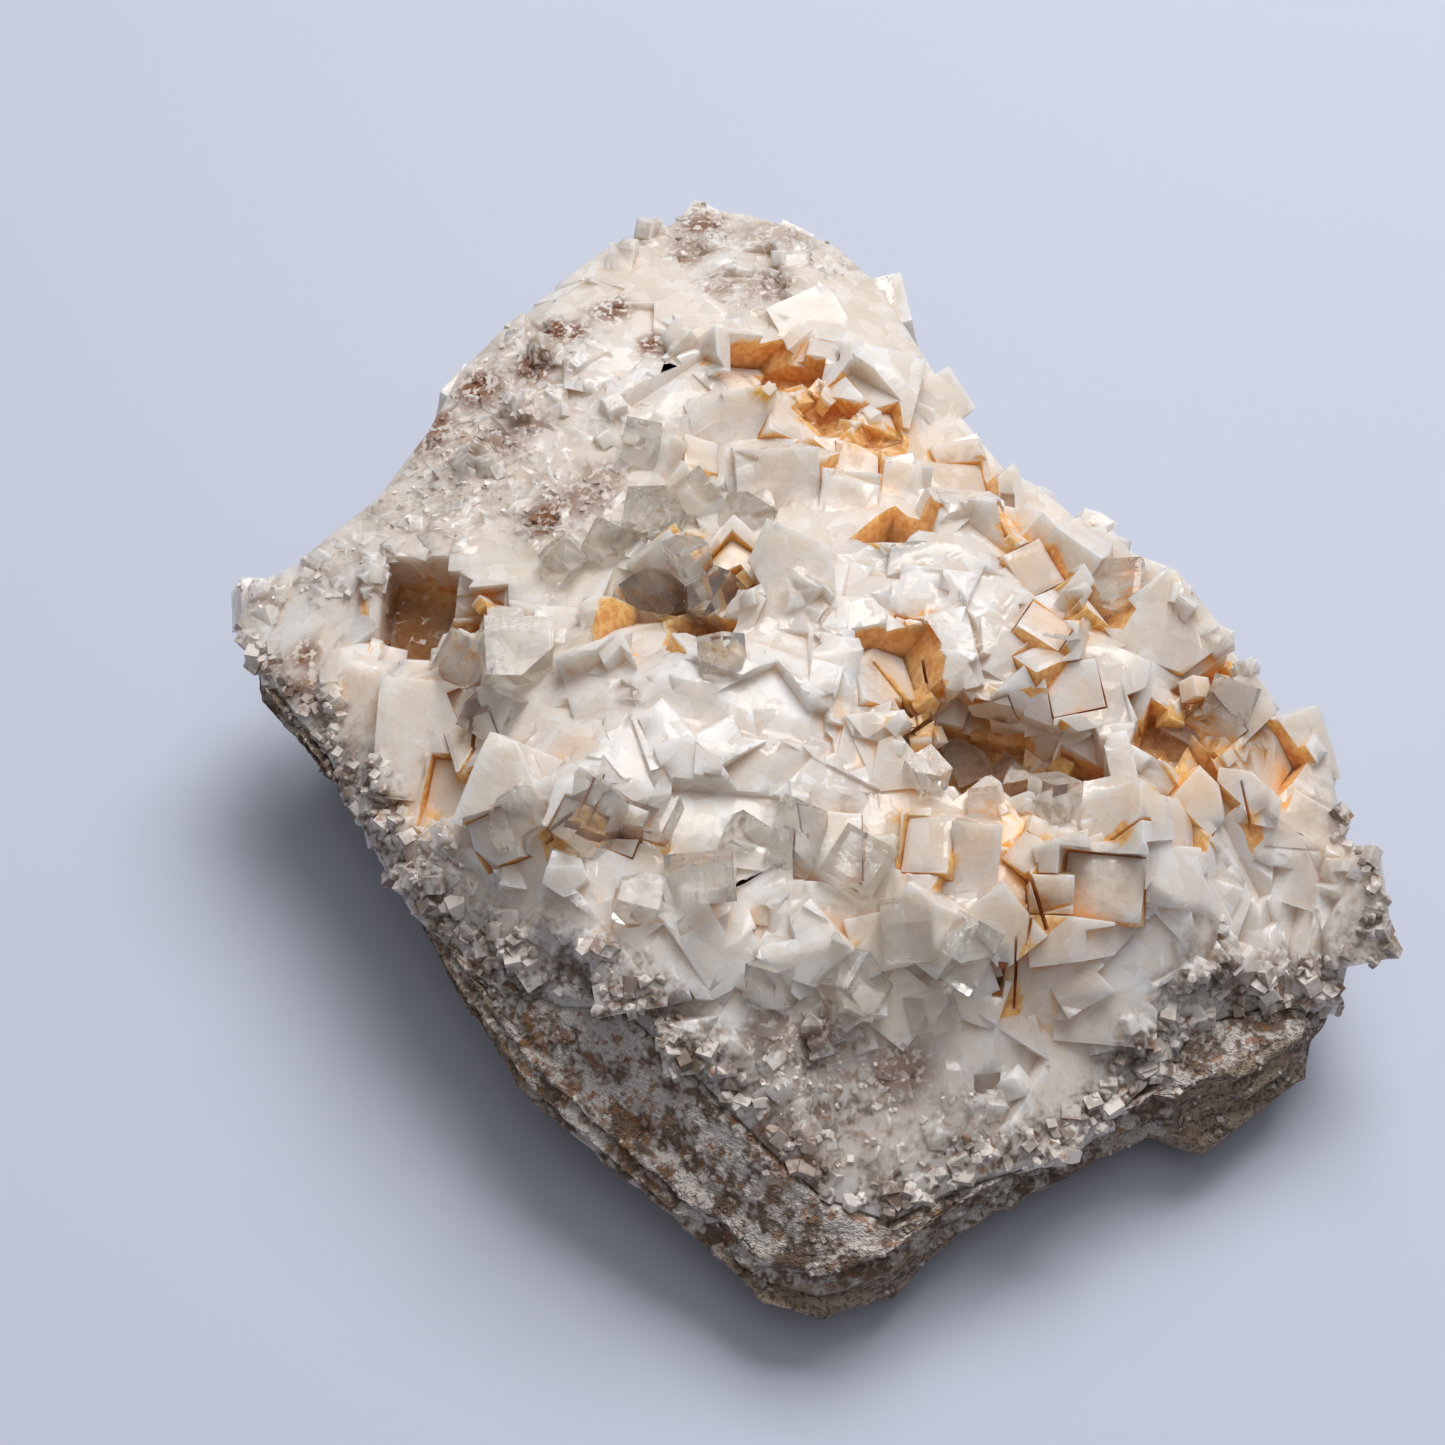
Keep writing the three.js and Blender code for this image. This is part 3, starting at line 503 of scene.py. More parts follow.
def shelter(piece, reach, rays=10):
    """How far each vertex is shut in by the surface round it, from 0 to 1."""
    tree = tree_of(piece)
    sky = []
    for n in range(rays):
        height = (n + 0.5) / rays
        turn = GOLDEN_ANGLE * n
        flat = math.sqrt(1 - height * height)
        sky.append(Vector((flat * math.cos(turn), flat * math.sin(turn), height)))
    shut = []
    for vertex in piece.data.vertices:
        normal = vertex.normal
        start = vertex.co + normal * 0.05 * MM
        turn = normal.to_track_quat("Z", "Y")
        hits = 0
        for ray in sky:
            if tree.ray_cast(start, turn @ ray, reach)[0]:
                hits += 1
        shut.append(hits / rays)
    return shut


# ------------------------------------------------------------------------------ crystals

def cube_at_origin(name):
    """A cube one unit wide, for the crystals to be shaped from."""
    bpy.ops.object.select_all(action="DESELECT")
    bpy.ops.mesh.primitive_cube_add(size=1)
    cube = bpy.context.object
    cube.name = name
    return cube


def select_facing(piece, direction):
    """Selects the faces that face a direction, in edit mode."""
    bpy.ops.object.mode_set(mode="OBJECT")
    for polygon in piece.data.polygons:
        polygon.select = polygon.normal.dot(direction) > 0.99
    bpy.ops.object.mode_set(mode="EDIT")


def growth_forms():
    """Three small crystals, one unit wide: terraced, cleaved at a corner and broken off. The
    fourth is a block for cuts."""
    def terrace():
        bpy.ops.mesh.select_all(action="DESELECT")
        bpy.ops.mesh.select_mode(type="FACE")
        for direction in (Vector((0, 0, 1)), Vector((0, -1, 0))):
            select_facing(terraced, direction)
            bpy.ops.mesh.inset(thickness=0.13)
            bpy.ops.transform.translate(value=direction * 0.05)

    def slice_off(co, no):
        bpy.ops.mesh.bisect(plane_co=co, plane_no=no, use_fill=True, clear_outer=True)

    terraced = cube_at_origin("terraced")
    edit(terraced, terrace)
    cleaved = cube_at_origin("cleaved")
    edit(cleaved, lambda: slice_off((0.3, -0.3, 0.4), (1, -1, 1)))
    broken = cube_at_origin("broken")
    edit(broken, lambda: slice_off((0, 0, 0.36), (0.35, -0.2, 1)))
    forms = [terraced, cleaved, broken, cube_at_origin("block")]
    for form in forms:
        edit(form, lambda: bpy.ops.mesh.quads_convert_to_tris())
    return forms


def scatter_places(piece, count, dice, lowest):
    """Random places on a piece's surface, each with its normal. Faces whose normal points up by
    less than the lowest value are left out."""
    flat = piece.copy()
    flat.data = piece.data.copy()
    bpy.context.scene.collection.objects.link(flat)
    edit(flat, lambda: bpy.ops.mesh.dissolve_limited(angle_limit=math.radians(0.5)))
    mesh = flat.data
    mesh.calc_loop_triangles()
    triangles = [t for t in mesh.loop_triangles if t.normal.z > lowest]
    chosen = dice.choices(triangles, [t.area for t in triangles], k=count)
    found = []
    for triangle in chosen:
        a, b, c = (mesh.vertices[i].co for i in triangle.vertices)
        s, t = dice.random(), dice.random()
        if s + t > 1:
            s, t = 1 - s, 1 - t
        found.append((a + (b - a) * s + (c - a) * t, triangle.normal.copy()))
    discard([flat])
    return found


def crystal_turn(dice, normal, least=5, most=48):
    """A turn that tilts a crystal's face off a direction, by an angle given in degrees."""
    tilt = Euler((math.radians(dice.uniform(least, most)), 0, 0)).to_quaternion()
    spin = [Euler((0, 0, dice.uniform(0, math.tau))).to_quaternion() for _ in range(2)]
    return normal.to_track_quat("Z", "Y") @ spin[0] @ tilt @ spin[1]


def set_tone(piece, tone):
    """Gives all faces of a piece one tone, from 0 for clear and grey to 1 for milky."""
    attribute = piece.data.attributes.new("tone", "FLOAT", "FACE")
    attribute.data.foreach_set("value", [tone] * len(piece.data.polygons))


def placed_form(form, name, place, turn, size, stretch=(1, 1, 1), tone=0.5):
    """A copy of a crystal form, with its own mesh, turned and set at a place."""
    piece = bpy.data.objects.new(name, form.data.copy())
    set_tone(piece, tone)
    sizes = Vector((*[size * side for side in stretch], 1))
    piece.data.transform(Matrix.Translation(place) @ turn.to_matrix().to_4x4()
                         @ Matrix.Diagonal(sizes))
    return piece


def combine(whole, pieces, operation):
    """Joins many closed pieces to a closed whole, or cuts them out of it."""
    group = bpy.data.collections.new("operands")
    bpy.context.scene.collection.children.link(group)
    for piece in pieces:
        group.objects.link(piece)
    before = len(whole.data.vertices)
    apply(whole, "BOOLEAN", operation=operation, solver="MANIFOLD",
          operand_type="COLLECTION", collection=group)
    if len(whole.data.vertices) == before:
        raise RuntimeError(f"{whole.name} is unchanged by {operation.lower()}")
    discard(pieces)
    bpy.data.collections.remove(group)


def keep_outer_shell(crust):
    """Deletes the shells of voids shut in between the crystals, and loose crystals if any."""
    def keep_outer():
        bpy.ops.mesh.select_all(action="DESELECT")
        bpy.ops.object.mode_set(mode="OBJECT")
        highest = int(np.argmax(positions(crust.data)[:, 2]))
        crust.data.vertices[highest].select = True
        bpy.ops.object.mode_set(mode="EDIT")
        bpy.ops.mesh.select_mode(type="VERT")
        bpy.ops.mesh.select_linked()
        bpy.ops.mesh.select_all(action="INVERT")
        bpy.ops.mesh.delete(type="VERT")
    edit(crust, keep_outer)


def half_height(turn, size, stretch, normal):
    """How far a turned block reaches from its middle along a direction."""
    axes = turn.to_matrix().col
    return size / 2 * sum(side * abs(axis.dot(normal)) for side, axis in zip(stretch, axes))


def over_mouth(place, margin):
    """Whether a place is in a pocket's mouth, or within a margin of it, in the picture."""
    u, v = picture_place(place)
    for x, y, width, height, turn, _ in marks_in(POCKETS):
        c, s = math.cos(math.radians(turn)), math.sin(math.radians(turn))
        across, down = (u - x) * c + (v - y) * s, (v - y) * c - (u - x) * s
        if abs(across) < width / 2 + margin and abs(down) < height / 2 + margin:
            return True
    return False


def cut_openings(crust, forms):
    """Cuts the pockets and joints nearly straight down, but not through the crust. Returns each
    block's place and size, the height of its mouth, and that it isn't a crystal's joint."""
    tree = tree_of(crust)
    down, above = Vector((0, 0, -1)), 8 * MM
    cuts, openings = [], []
    for u, v, width, height, turn, depth in marks_in(POCKETS) + marks_in(JOINTS):
        eye, direction = sight_line(u, v)
        mouth = tree.ray_cast(eye, direction)[0]
        if not mouth:
            raise RuntimeError(f"no crust at the opening {u}, {v}")
        across, along = width / picture_scale(), height / picture_scale() / abs(direction.z)
        under = tree.ray_cast(mouth + down * 0.05 * MM, down)[3] or 0
        deep = max(min(depth * MM, under - LEFT_UNDER["opening"]), 0) + above
        lean = Euler((math.radians(6), math.radians(-5), -math.radians(turn)))
        middle = mouth + Vector((0, 0, above - deep / 2))
        cuts.append(placed_form(forms[3], "opening", middle, lean, 1, (across, along, deep)))
        place = Matrix.Translation(middle) @ lean.to_matrix().to_4x4()
        openings.append((place.inverted(), (across, along, deep), mouth.z, False))
    combine(crust, cuts, "DIFFERENCE")
    return openings


def opening_depth(mesh, openings, margin):
    """How deep the faces' corners lie in the openings, in metres, and 0 away from their walls.
    Of a crystal's joint only its steep sides count."""
    places = positions(mesh)[gathered(mesh.loops, "vertex_index", 1, np.int32)[:, 0]]
    sides = gathered(mesh.polygons, "loop_total", 1, np.int32)[:, 0]
    normals = np.repeat(gathered(mesh.polygons, "normal", 3), sides, axis=0)
    depth = np.zeros(len(places), np.float32)
    for back, sizes, mouth, is_joint in openings:
        turn = np.array(back.to_3x3()).T
        local = places @ turn + np.array(back.translation)
        inside = np.all(np.abs(local) < np.array(sizes) / 2 + margin, axis=1)
        if is_joint:
            near_side = np.any(np.abs(local) > np.array(sizes) / 2 - 2 * margin, axis=1)
            inside &= near_side & (np.abs((normals @ turn)[:, 2]) < 0.5)
        depth = np.maximum(depth, np.where(inside, mouth - places[:, 2] + 0.5 * margin, 0))
    return np.maximum(depth, 0)


def bends(piece):
    """How far the surface bends outwards at each vertex, and below 0 where it bends inwards."""
    places = positions(piece.data)
    normals = gathered(piece.data.vertices, "normal", 3)
    ends = gathered(piece.data.edges, "vertices", 2, np.int32).T
    total, count = np.zeros(len(places)), np.full(len(places), 1e-6)
    for a, b in (ends, ends[::-1]):
        away = places[a] - places[b]
        away /= np.maximum(np.linalg.norm(away, axis=1), 1e-9)[:, None]
        np.add.at(total, a, np.sum(normals[a] * away, axis=1))
        np.add.at(count, a, 1)
    return total / count


class Level:
    """The general level of a piece's upper side, seen from above: its height smoothed over a
    reach. The grid also holds how deep the valleys lie under that level, how thick the piece is
    under it, and how far each cell is from the rim."""

    def __init__(self, piece, reach, step=1.0 * MM, margin=6):
        """The grid's cells are a step apart, and it has a margin of cells round the piece."""
        self.step = step
        flat = positions(piece.data)[:, :2]
        self.low = flat.min(axis=0) - margin * step
        self.counts = tuple(int(n) for n in (flat.max(axis=0) - flat.min(axis=0)) / step
                            + (2 * margin + 1))
        tree = tree_of(piece)
        heights, inside, bottoms = (np.zeros(self.counts) for _ in range(3))
        for i, j in np.ndindex(self.counts):
            x, y = self.low + (i * step, j * step)
            hit = tree.ray_cast((x, y, 1), (0, 0, -1))[0]
            if hit:
                heights[i, j], inside[i, j] = hit.z, 1
                bottoms[i, j] = tree.ray_cast((x, y, -1), (0, 0, 1))[0].z
        self.heights = self.smooth(heights, reach) / np.maximum(self.smooth(inside, reach), 1e-6)
        self.slopes = np.gradient(self.heights, step)
        self.valleys = np.where(inside > 0, self.heights - heights, 0)
        self.cover = np.where(inside > 0, np.minimum(self.heights, heights) - bottoms, 0)
        cells = np.indices(self.counts).reshape(2, -1).T
        rim = np.argwhere((inside > 0) & (self.smooth(inside, 1.2 * step) < 0.95))
        away = np.full(len(cells), np.inf)
        for cell in rim:
            away = np.minimum(away, np.hypot(*(cells - cell).T))
        self.from_rim = (away.reshape(self.counts) * np.where(inside > 0, 1, -1)) * step

    def smooth(self, grid, reach):
        """A grid blurred over a reach, which may be up to nine cells."""
        span = np.arange(-9, 10) * self.step
        bell = np.exp(-span ** 2 / (2 * (reach / 2) ** 2))
        bell /= bell.sum()
        for axis in (0, 1):
            grid = np.apply_along_axis(np.convolve, axis, grid, bell, "same")
        return grid

    def cell(self, places):
        """Where places lie in the grid."""
        cells = np.rint((np.asarray(places, float)[..., :2] - self.low) / self.step).astype(int)
        return tuple(np.clip(cells, 0, np.array(self.counts) - 1).T)

    def inwards(self, places):
        """How far places lie inside the piece's rim, seen from above. Outside it's negative."""
        return self.from_rim[self.cell(places)]

    def random_place(self, dice):
        """A random place on the level, and the way up from it."""
        while True:
            x, y = (self.low[n] + dice.random() * self.counts[n] * self.step for n in (0, 1))
            cell = self.cell((x, y))
            normal = Vector((-self.slopes[0][cell], -self.slopes[1][cell], 1)).normalized()
            if self.from_rim[cell] > 0 and dice.random() < 0.4 / max(normal.z, 0.4):
                return Vector((x, y, self.heights[cell])), normal


def front_rim(level, places, reach):
    """How much places belong to the front of the rim, where the crust thins out."""
    places = np.asarray(places, float)
    front = np.clip(-(0.2 * places[..., 0] + 0.97 * places[..., 1]) / (25 * MM), 0, 1)
    return front * np.clip(1.3 - level.inwards(places) / reach, 0, 1)


def fill_level(crust, level, forms, settings):
    """Joins crystals to the crust whose tops reach its general level, so that only its largest
    crystals stand clear of an intergrown mass."""
    dice = random.Random(SEED)
    grown = []
    for _ in range(settings.count):
        place, normal = level.random_place(dice)
        size = settings.smallest + (settings.largest - settings.smallest) * dice.random() ** 1.3
        size = max(size, level.valleys[level.cell(place)] + settings.smallest)
        size = min(size, level.inwards(place) / 0.6)
        if size < 0.6 * settings.smallest:
            continue
        if over_mouth(place, 0.5 * size * picture_scale()):
            continue
        turn = crystal_turn(dice, normal)
        stretch = (1, dice.uniform(0.8, 1.3), dice.uniform(0.85, 1.2))
        top = dice.uniform(-settings.sunk, settings.proud)
        out = top - half_height(turn, size, stretch, normal)
        form = dice.choices(forms[:3], (4, 3, 3))[0]
        grown.append(placed_form(form, "crystal", place + normal * out, turn, size, stretch,
                                 dice.random()))
    combine(crust, grown, "UNION")


def break_tops(crust, level, forms, settings):
    """Cuts flat, tilted breaks over the crust's general level, most of all where it is massive."""
    dice = random.Random(SEED + 1)
    spots = [level.random_place(dice) for _ in range(4 * settings.breaks)]
    massive = zone_of_spots(spots, MILKY, [tree_of(crust)])
    cuts = []
    for (place, normal), mass in zip(spots, massive):
        if len(cuts) >= settings.breaks:
            break
        if dice.random() > 0.1 + 0.8 * mass:
            continue
        size = dice.uniform(5, 9 + 3 * mass) * MM
        turn = crystal_turn(dice, normal, 3, 24 - 8 * mass)
        over = (dice.uniform(-0.2, 0.6) + (2.0 if mass < 0.3 else 0)) * MM
        face = turn @ Vector((0, 0, 1))
        below = 0.7 * size * face.cross(normal).length - over
        if level.cover[level.cell(place)] < below + LEFT_UNDER["break"]:
            continue
        cuts.append(placed_form(forms[1], "break", place + normal * over + face * size / 2,
                                turn, size, tone=dice.uniform(0.35, 1)))
    combine(crust, cuts, "DIFFERENCE")


def ring_crystals(crust, level, forms, settings):
    """Sets crystals in sockets of their own in the stained zones, so that a narrow open joint
    runs round each. Returns each socket's place and size, the height of its mouth, and that it
    is a crystal's joint."""
    dice = random.Random(SEED + 4)
    spots = [level.random_place(dice) for _ in range(30 * settings.ringed)]
    stained = zone_of_spots(spots, STAIN, [tree_of(crust)])
    sockets, crystals, openings = [], [], []
    taken = []
    for (place, normal), stain in zip(spots, stained):
        if len(crystals) >= settings.ringed:
            break
        size = dice.uniform(3, 7) * MM
        near = any((place - other).length < 0.42 * (size + width) for other, width in taken)
        if dice.random() > 1.6 * (stain - 0.3) or near or over_mouth(place, 0):
            continue
        turn = crystal_turn(dice, normal, 6, 34)
        stretch = Vector((1, dice.uniform(0.8, 1.25), dice.uniform(0.85, 1.1)))
        top = dice.uniform(0.1, 1.0) * MM
        deep = dice.uniform(0.8, 1.8) * MM
        middle = place + normal * (top - half_height(turn, size, stretch, normal))
        shallow = level.cover[level.cell(place)] < deep + LEFT_UNDER["socket"]
        if shallow or level.inwards(place) < 0.8 * size:
            continue
        sides = stretch * size + Vector((2, 2, 0)) * settings.gap
        raised = middle + turn @ Vector((0, 0, size * stretch.z - top - deep))
        sockets.append(placed_form(forms[3], "socket", raised, turn, 1, sides))
        crystals.append(placed_form(dice.choices(forms[:3], (5, 3, 2))[0], "ringed", middle, turn,
                                    size, stretch, dice.uniform(0.15, 0.9)))
        matrix = Matrix.Translation(raised) @ turn.to_matrix().to_4x4()
        openings.append((matrix.inverted(), tuple(sides), place.z + 0.3 * MM, True))
        taken.append((place, size))
    combine(crust, sockets, "DIFFERENCE")
    combine(crust, crystals, "UNION")
    return openings


def line_surface(crust, level, forms, settings):
    """Joins tiny crystals to the pockets, the steep sides and the sugary rims."""
    dice = random.Random(SEED + 2)
    places = scatter_places(crust, 12 * settings.lining, dice, lowest=-0.6)
    sugary = zone_of_spots(places, SUGARY, [tree_of(crust)])
    grown = []
    for (place, normal), fine in zip(places, sugary):
        if len(grown) >= settings.lining:
            break
        steep = normal.z < 0.35 and level.inwards(place) < 3 * MM
        likely = max(min(2.4 * fine, 1), 0.4 * steep, 0.9 * front_rim(level, place, 3 * MM))
        if level.inwards(place) < RIM_HELD:
            continue
        if dice.random() > (0.35 if over_mouth(place, 0) else likely):
            continue
        size = dice.uniform(0.8, 2.1) * MM
        turn = crystal_turn(dice, normal)
        out = 0.2 * size * dice.uniform(0.2, 1.3) - half_height(turn, size, (1, 1, 1), normal)
        form = dice.choice(forms[:3])
        grown.append(placed_form(form, "tiny", place + normal * out, turn, size,
                                 tone=dice.random()))
    combine(crust, grown, "UNION")


# ------------------------------------------------------------------------------ materials

class Nodes:
    """A short way of building a material or group's node tree."""

    def __init__(self, tree):
        self.tree = tree

    def add(self, kind, inputs=None, **values):
        node = self.tree.nodes.new(kind)
        for name, value in values.items():
            setattr(node, name, value)
        for name, value in (inputs or {}).items():
            self.set(node.inputs[name], value)
        return node

    def set(self, socket, value):
        if isinstance(value, bpy.types.NodeSocket):
            self.tree.links.new(value, socket)
        elif isinstance(value, (tuple, list)) and len(value) == 3 and socket.type == "RGBA":
            socket.default_value = (*value, 1)
        else:
            socket.default_value = value

    def attribute(self, name):
        return self.add("ShaderNodeAttribute", attribute_name=name).outputs["Fac"]

    def math(self, operation, a, b=0.0, clamp=False):
        return self.add("ShaderNodeMath", {0: a, 1: b}, operation=operation,
                        use_clamp=clamp).outputs[0]

    def vector(self, operation, a, b):
        node = self.add("ShaderNodeVectorMath", {0: a, 1: b}, operation=operation)
        return node.outputs["Value" if operation == "DOT_PRODUCT" else "Vector"]

    def mix(self, amount, a, b):
        node = self.add("ShaderNodeMix", data_type="RGBA", blend_type="MIX")
        self.set(node.inputs["Factor"], amount)
        self.set(node.inputs[6], a)
        self.set(node.inputs[7], b)
        return node.outputs[2]

    def ramp(self, value, low, high, to_low=0.0, to_high=1.0):
        return self.add("ShaderNodeMapRange", {"Value": value, "From Min": low, "From Max": high,
                        "To Min": to_low, "To Max": to_high},
                        interpolation_type="SMOOTHSTEP").outputs[0]

    def noise(self, place, size, detail=3.0, roughness=0.5, distortion=0.0):
        """Noise from 0 to 1 with features of a size in millimetres."""
        return self.add("ShaderNodeTexNoise", {"Vector": place, "Scale": 1 / (size * MM),
                        "Detail": detail, "Roughness": roughness,
                        "Distortion": distortion}).outputs["Fac"]


def new_material(name):
    """A material, its nodes, its shader and the place on the piece that its patterns read."""
    material = bpy.data.materials.new(name)
    material.use_nodes = True
    nodes = Nodes(material.node_tree)
    shader = material.node_tree.nodes["Principled BSDF"]
    place = nodes.add("ShaderNodeTexCoord").outputs["Object"]
    return material, nodes, shader, place


def broken_surface_group():
    """Height of small flat facets that tilt every way, and a shade for each of them."""
    tree = bpy.data.node_groups.new("Cleavage relief", "ShaderNodeTree")
    face = tree.interface
    face.new_socket("Place", in_out="INPUT", socket_type="NodeSocketVector")
    face.new_socket("Size", in_out="INPUT", socket_type="NodeSocketFloat")
    face.new_socket("Height", in_out="OUTPUT", socket_type="NodeSocketFloat")
    face.new_socket("Shade", in_out="OUTPUT", socket_type="NodeSocketFloat")
    nodes = Nodes(tree)
    given = nodes.add("NodeGroupInput").outputs
    scale = nodes.math("DIVIDE", 1.0, given["Size"])
    cells = nodes.add("ShaderNodeTexVoronoi", {"Vector": given["Place"], "Scale": scale}).outputs
    from_middle = nodes.vector("SUBTRACT", given["Place"], cells["Position"])
    tilt = nodes.vector("SUBTRACT", cells["Color"], (0.5, 0.5, 0.5))
    facets = nodes.math("MULTIPLY", nodes.vector("DOT_PRODUCT", from_middle, tilt), scale)
    fine = nodes.add("ShaderNodeTexNoise", {"Vector": given["Place"],
                     "Scale": nodes.math("MULTIPLY", scale, 2.5), "Detail": 1.0,
                     "Roughness": 0.7}).outputs["Fac"]
    out = nodes.add("NodeGroupOutput")
    nodes.set(out.inputs["Height"], nodes.math("ADD", facets,
                                               nodes.math("MULTIPLY", fine, 0.25)))
    nodes.set(out.inputs["Shade"], nodes.vector("DOT_PRODUCT", cells["Color"], (0.5, 0.3, 0.2)))
    return tree


def sugary_rock_group():
    """Colour of the mottled, sugary rock where crust and bare rock meet."""
    tree = bpy.data.node_groups.new("Sugary rock", "ShaderNodeTree")
    tree.interface.new_socket("Place", in_out="INPUT", socket_type="NodeSocketVector")
    tree.interface.new_socket("Color", in_out="OUTPUT", socket_type="NodeSocketColor")
    nodes = Nodes(tree)
    place = nodes.add("NodeGroupInput").outputs["Place"]
    base = nodes.mix(nodes.ramp(nodes.noise(place, 3.2, 3, 0.8), 0.42, 0.56),
                     (0.15, 0.1, 0.07), (0.60, 0.54, 0.50))
    rusty = nodes.ramp(nodes.noise(place, 1.7, 2, 0.7), 0.57, 0.66, 0, 0.8)
    base = nodes.mix(rusty, base, (0.30, 0.14, 0.06))
    nodes.set(nodes.add("NodeGroupOutput").inputs["Color"], base)
    return tree


def sugary_rock(nodes, place):
    node = nodes.add("ShaderNodeGroup")
    node.node_tree = bpy.data.node_groups.get("Sugary rock") or sugary_rock_group()
    nodes.set(node.inputs["Place"], place)
    return node.outputs["Color"]


def relief(nodes, place, size):
    """Height and shade of broken facets of a size in millimetres."""
    node = nodes.add("ShaderNodeGroup")
    node.node_tree = bpy.data.node_groups.get("Cleavage relief") or broken_surface_group()
    nodes.set(node.inputs["Place"], place)
    nodes.set(node.inputs["Size"], size * MM)
    return node.outputs["Height"], node.outputs["Shade"]


def bump(nodes, shader, height, strength, distance):
    """Roughens a shader's surface by a height, over a distance in metres."""
    node = nodes.add("ShaderNodeBump", {"Height": height, "Strength": strength,
                                        "Distance": distance})
    nodes.set(shader.inputs["Normal"], node.outputs["Normal"])


def fluorite_material(settings):
    material, nodes, shader, place = new_material("Fluorite")
    stain, rust = nodes.attribute("stain"), nodes.attribute("rust")
    milky, clear = nodes.attribute("milky"), nodes.attribute("clear")
    sugary, shut_in = nodes.attribute("sugary"), nodes.attribute("shelter")
    tone, opening = nodes.attribute("tone"), nodes.attribute("opening")
    veils = nodes.noise(place, 2.4, 3, 0.7)
    specks = nodes.noise(place, 0.7, 1, 0.6)
    facets, shade = relief(nodes, place, 1.7)

    # Each crystal has its own tone, and planes inside it show as flat patches.
    base = nodes.mix(nodes.ramp(tone, 0.1, 0.6), (0.58, 0.50, 0.42), tuple(settings.cream))
    milk = nodes.math("ADD", nodes.ramp(veils, 0.46, 0.6, 0, 0.55), nodes.math(
        "ADD", nodes.math("MULTIPLY", milky, 0.5), nodes.ramp(tone, 0.5, 1.0, 0, 0.5)), clamp=True)
    base = nodes.mix(milk, base, tuple(settings.milky))
    base = nodes.mix(nodes.ramp(shade, 0.38, 0.6, 0.5, 0), base, (0.64, 0.55, 0.47))
    grey = nodes.math("MULTIPLY", clear, nodes.ramp(veils, 0.35, 0.6, 1, 0.35))
    base = nodes.mix(grey, base, tuple(settings.grey))
    # Crystals are painted paler along their outward edges, a painted highlight, and darker and
    # warmer in the creases between them, painted shade. The iron stain also gathers most in these
    # creases.
    bend = nodes.attribute("bend")
    # Painted highlight: the outward-bending edges are made paler.
    base = nodes.mix(nodes.ramp(bend, 0.08, 0.45, 0, 0.6), base, (0.83, 0.80, 0.78))
    crease = nodes.ramp(bend, -0.06, -0.35)
    # The crease mask joins how shut in a place is with how far the surface bends inwards. It sets
    # the painted shade in the creases and how strongly the real stain gathers there.
    crease_stain_and_shade = nodes.math("MAXIMUM", nodes.ramp(shut_in, 0.35, 0.85, 0, 0.7), crease)
    # Painted shade: the creases are darkened towards a warm brown.
    base = nodes.mix(nodes.math("MULTIPLY", crease_stain_and_shade, 0.35), base, (0.66, 0.50, 0.37))
    tint = nodes.math("MULTIPLY", stain, nodes.ramp(veils, 0.3, 0.6, 0.5, 1.2))
    tint = nodes.math("MULTIPLY", tint, nodes.math("ADD", crease_stain_and_shade, 0.3), clamp=True)
    base = nodes.mix(tint, base, tuple(settings.stain))
    amber = nodes.math("MULTIPLY", nodes.ramp(opening, 0.02, 0.35),
                       nodes.ramp(veils, 0.25, 0.5, 0.8, 1))
    base = nodes.mix(amber, base, nodes.mix(nodes.ramp(specks, 0.4, 0.6),
                                            (0.74, 0.36, 0.12), (0.87, 0.5, 0.2)))
    # Pockets and joints turn dark brown in the deep marks and the further down an opening goes:
    # partly the real dark stain, partly painted shade in the recesses.
    dark = nodes.math("MAXIMUM", nodes.math("MULTIPLY", nodes.attribute("deep"), 0.85),
                      nodes.ramp(opening, 2.2, 6.5, 0, 0.75))
    base = nodes.mix(dark, base, (0.14, 0.055, 0.025))
    grit = nodes.math("MULTIPLY", sugary, nodes.ramp(specks, 0.42, 0.62, 1, 0.5))
    base = nodes.mix(grit, base, sugary_rock(nodes, place))
    dirty = nodes.math("MULTIPLY", rust, nodes.ramp(specks, 0.38, 0.52))
    base = nodes.mix(dirty, base, tuple(settings.rust))
    nodes.set(shader.inputs["Base Color"], base)
    nodes.set(shader.inputs["Roughness"], nodes.math(
        "ADD", nodes.ramp(shade, 0.3, 0.7, 0.06, 0.36), nodes.math("MULTIPLY", milky, 0.1)))
    shader.inputs["IOR"].default_value = FLUORITE_IOR
    shader.inputs["Subsurface Weight"].default_value = 0.55
    shader.inputs["Subsurface Radius"].default_value = (1.0, 0.85, 0.7)
    shader.inputs["Subsurface Scale"].default_value = 6 * MM
    bump(nodes, shader, facets, 0.6, 0.3 * MM)
    return material


def clear_material():
    material, nodes, shader, place = new_material("Clear fluorite")
    veils = nodes.noise(place, 1.6, 5, 0.6, 0.5)
    nodes.set(shader.inputs["Base Color"],
              nodes.mix(nodes.ramp(veils, 0.4, 0.65), (0.97, 0.93, 0.87), (0.99, 0.97, 0.95)))
    nodes.set(shader.inputs["Roughness"], nodes.ramp(veils, 0.4, 0.75, 0.06, 0.34))
    shader.inputs["IOR"].default_value = FLUORITE_IOR
    shader.inputs["Transmission Weight"].default_value = 0.9
    bump(nodes, shader, relief(nodes, place, 1.6)[0], 0.5, 0.16 * MM)
    return material


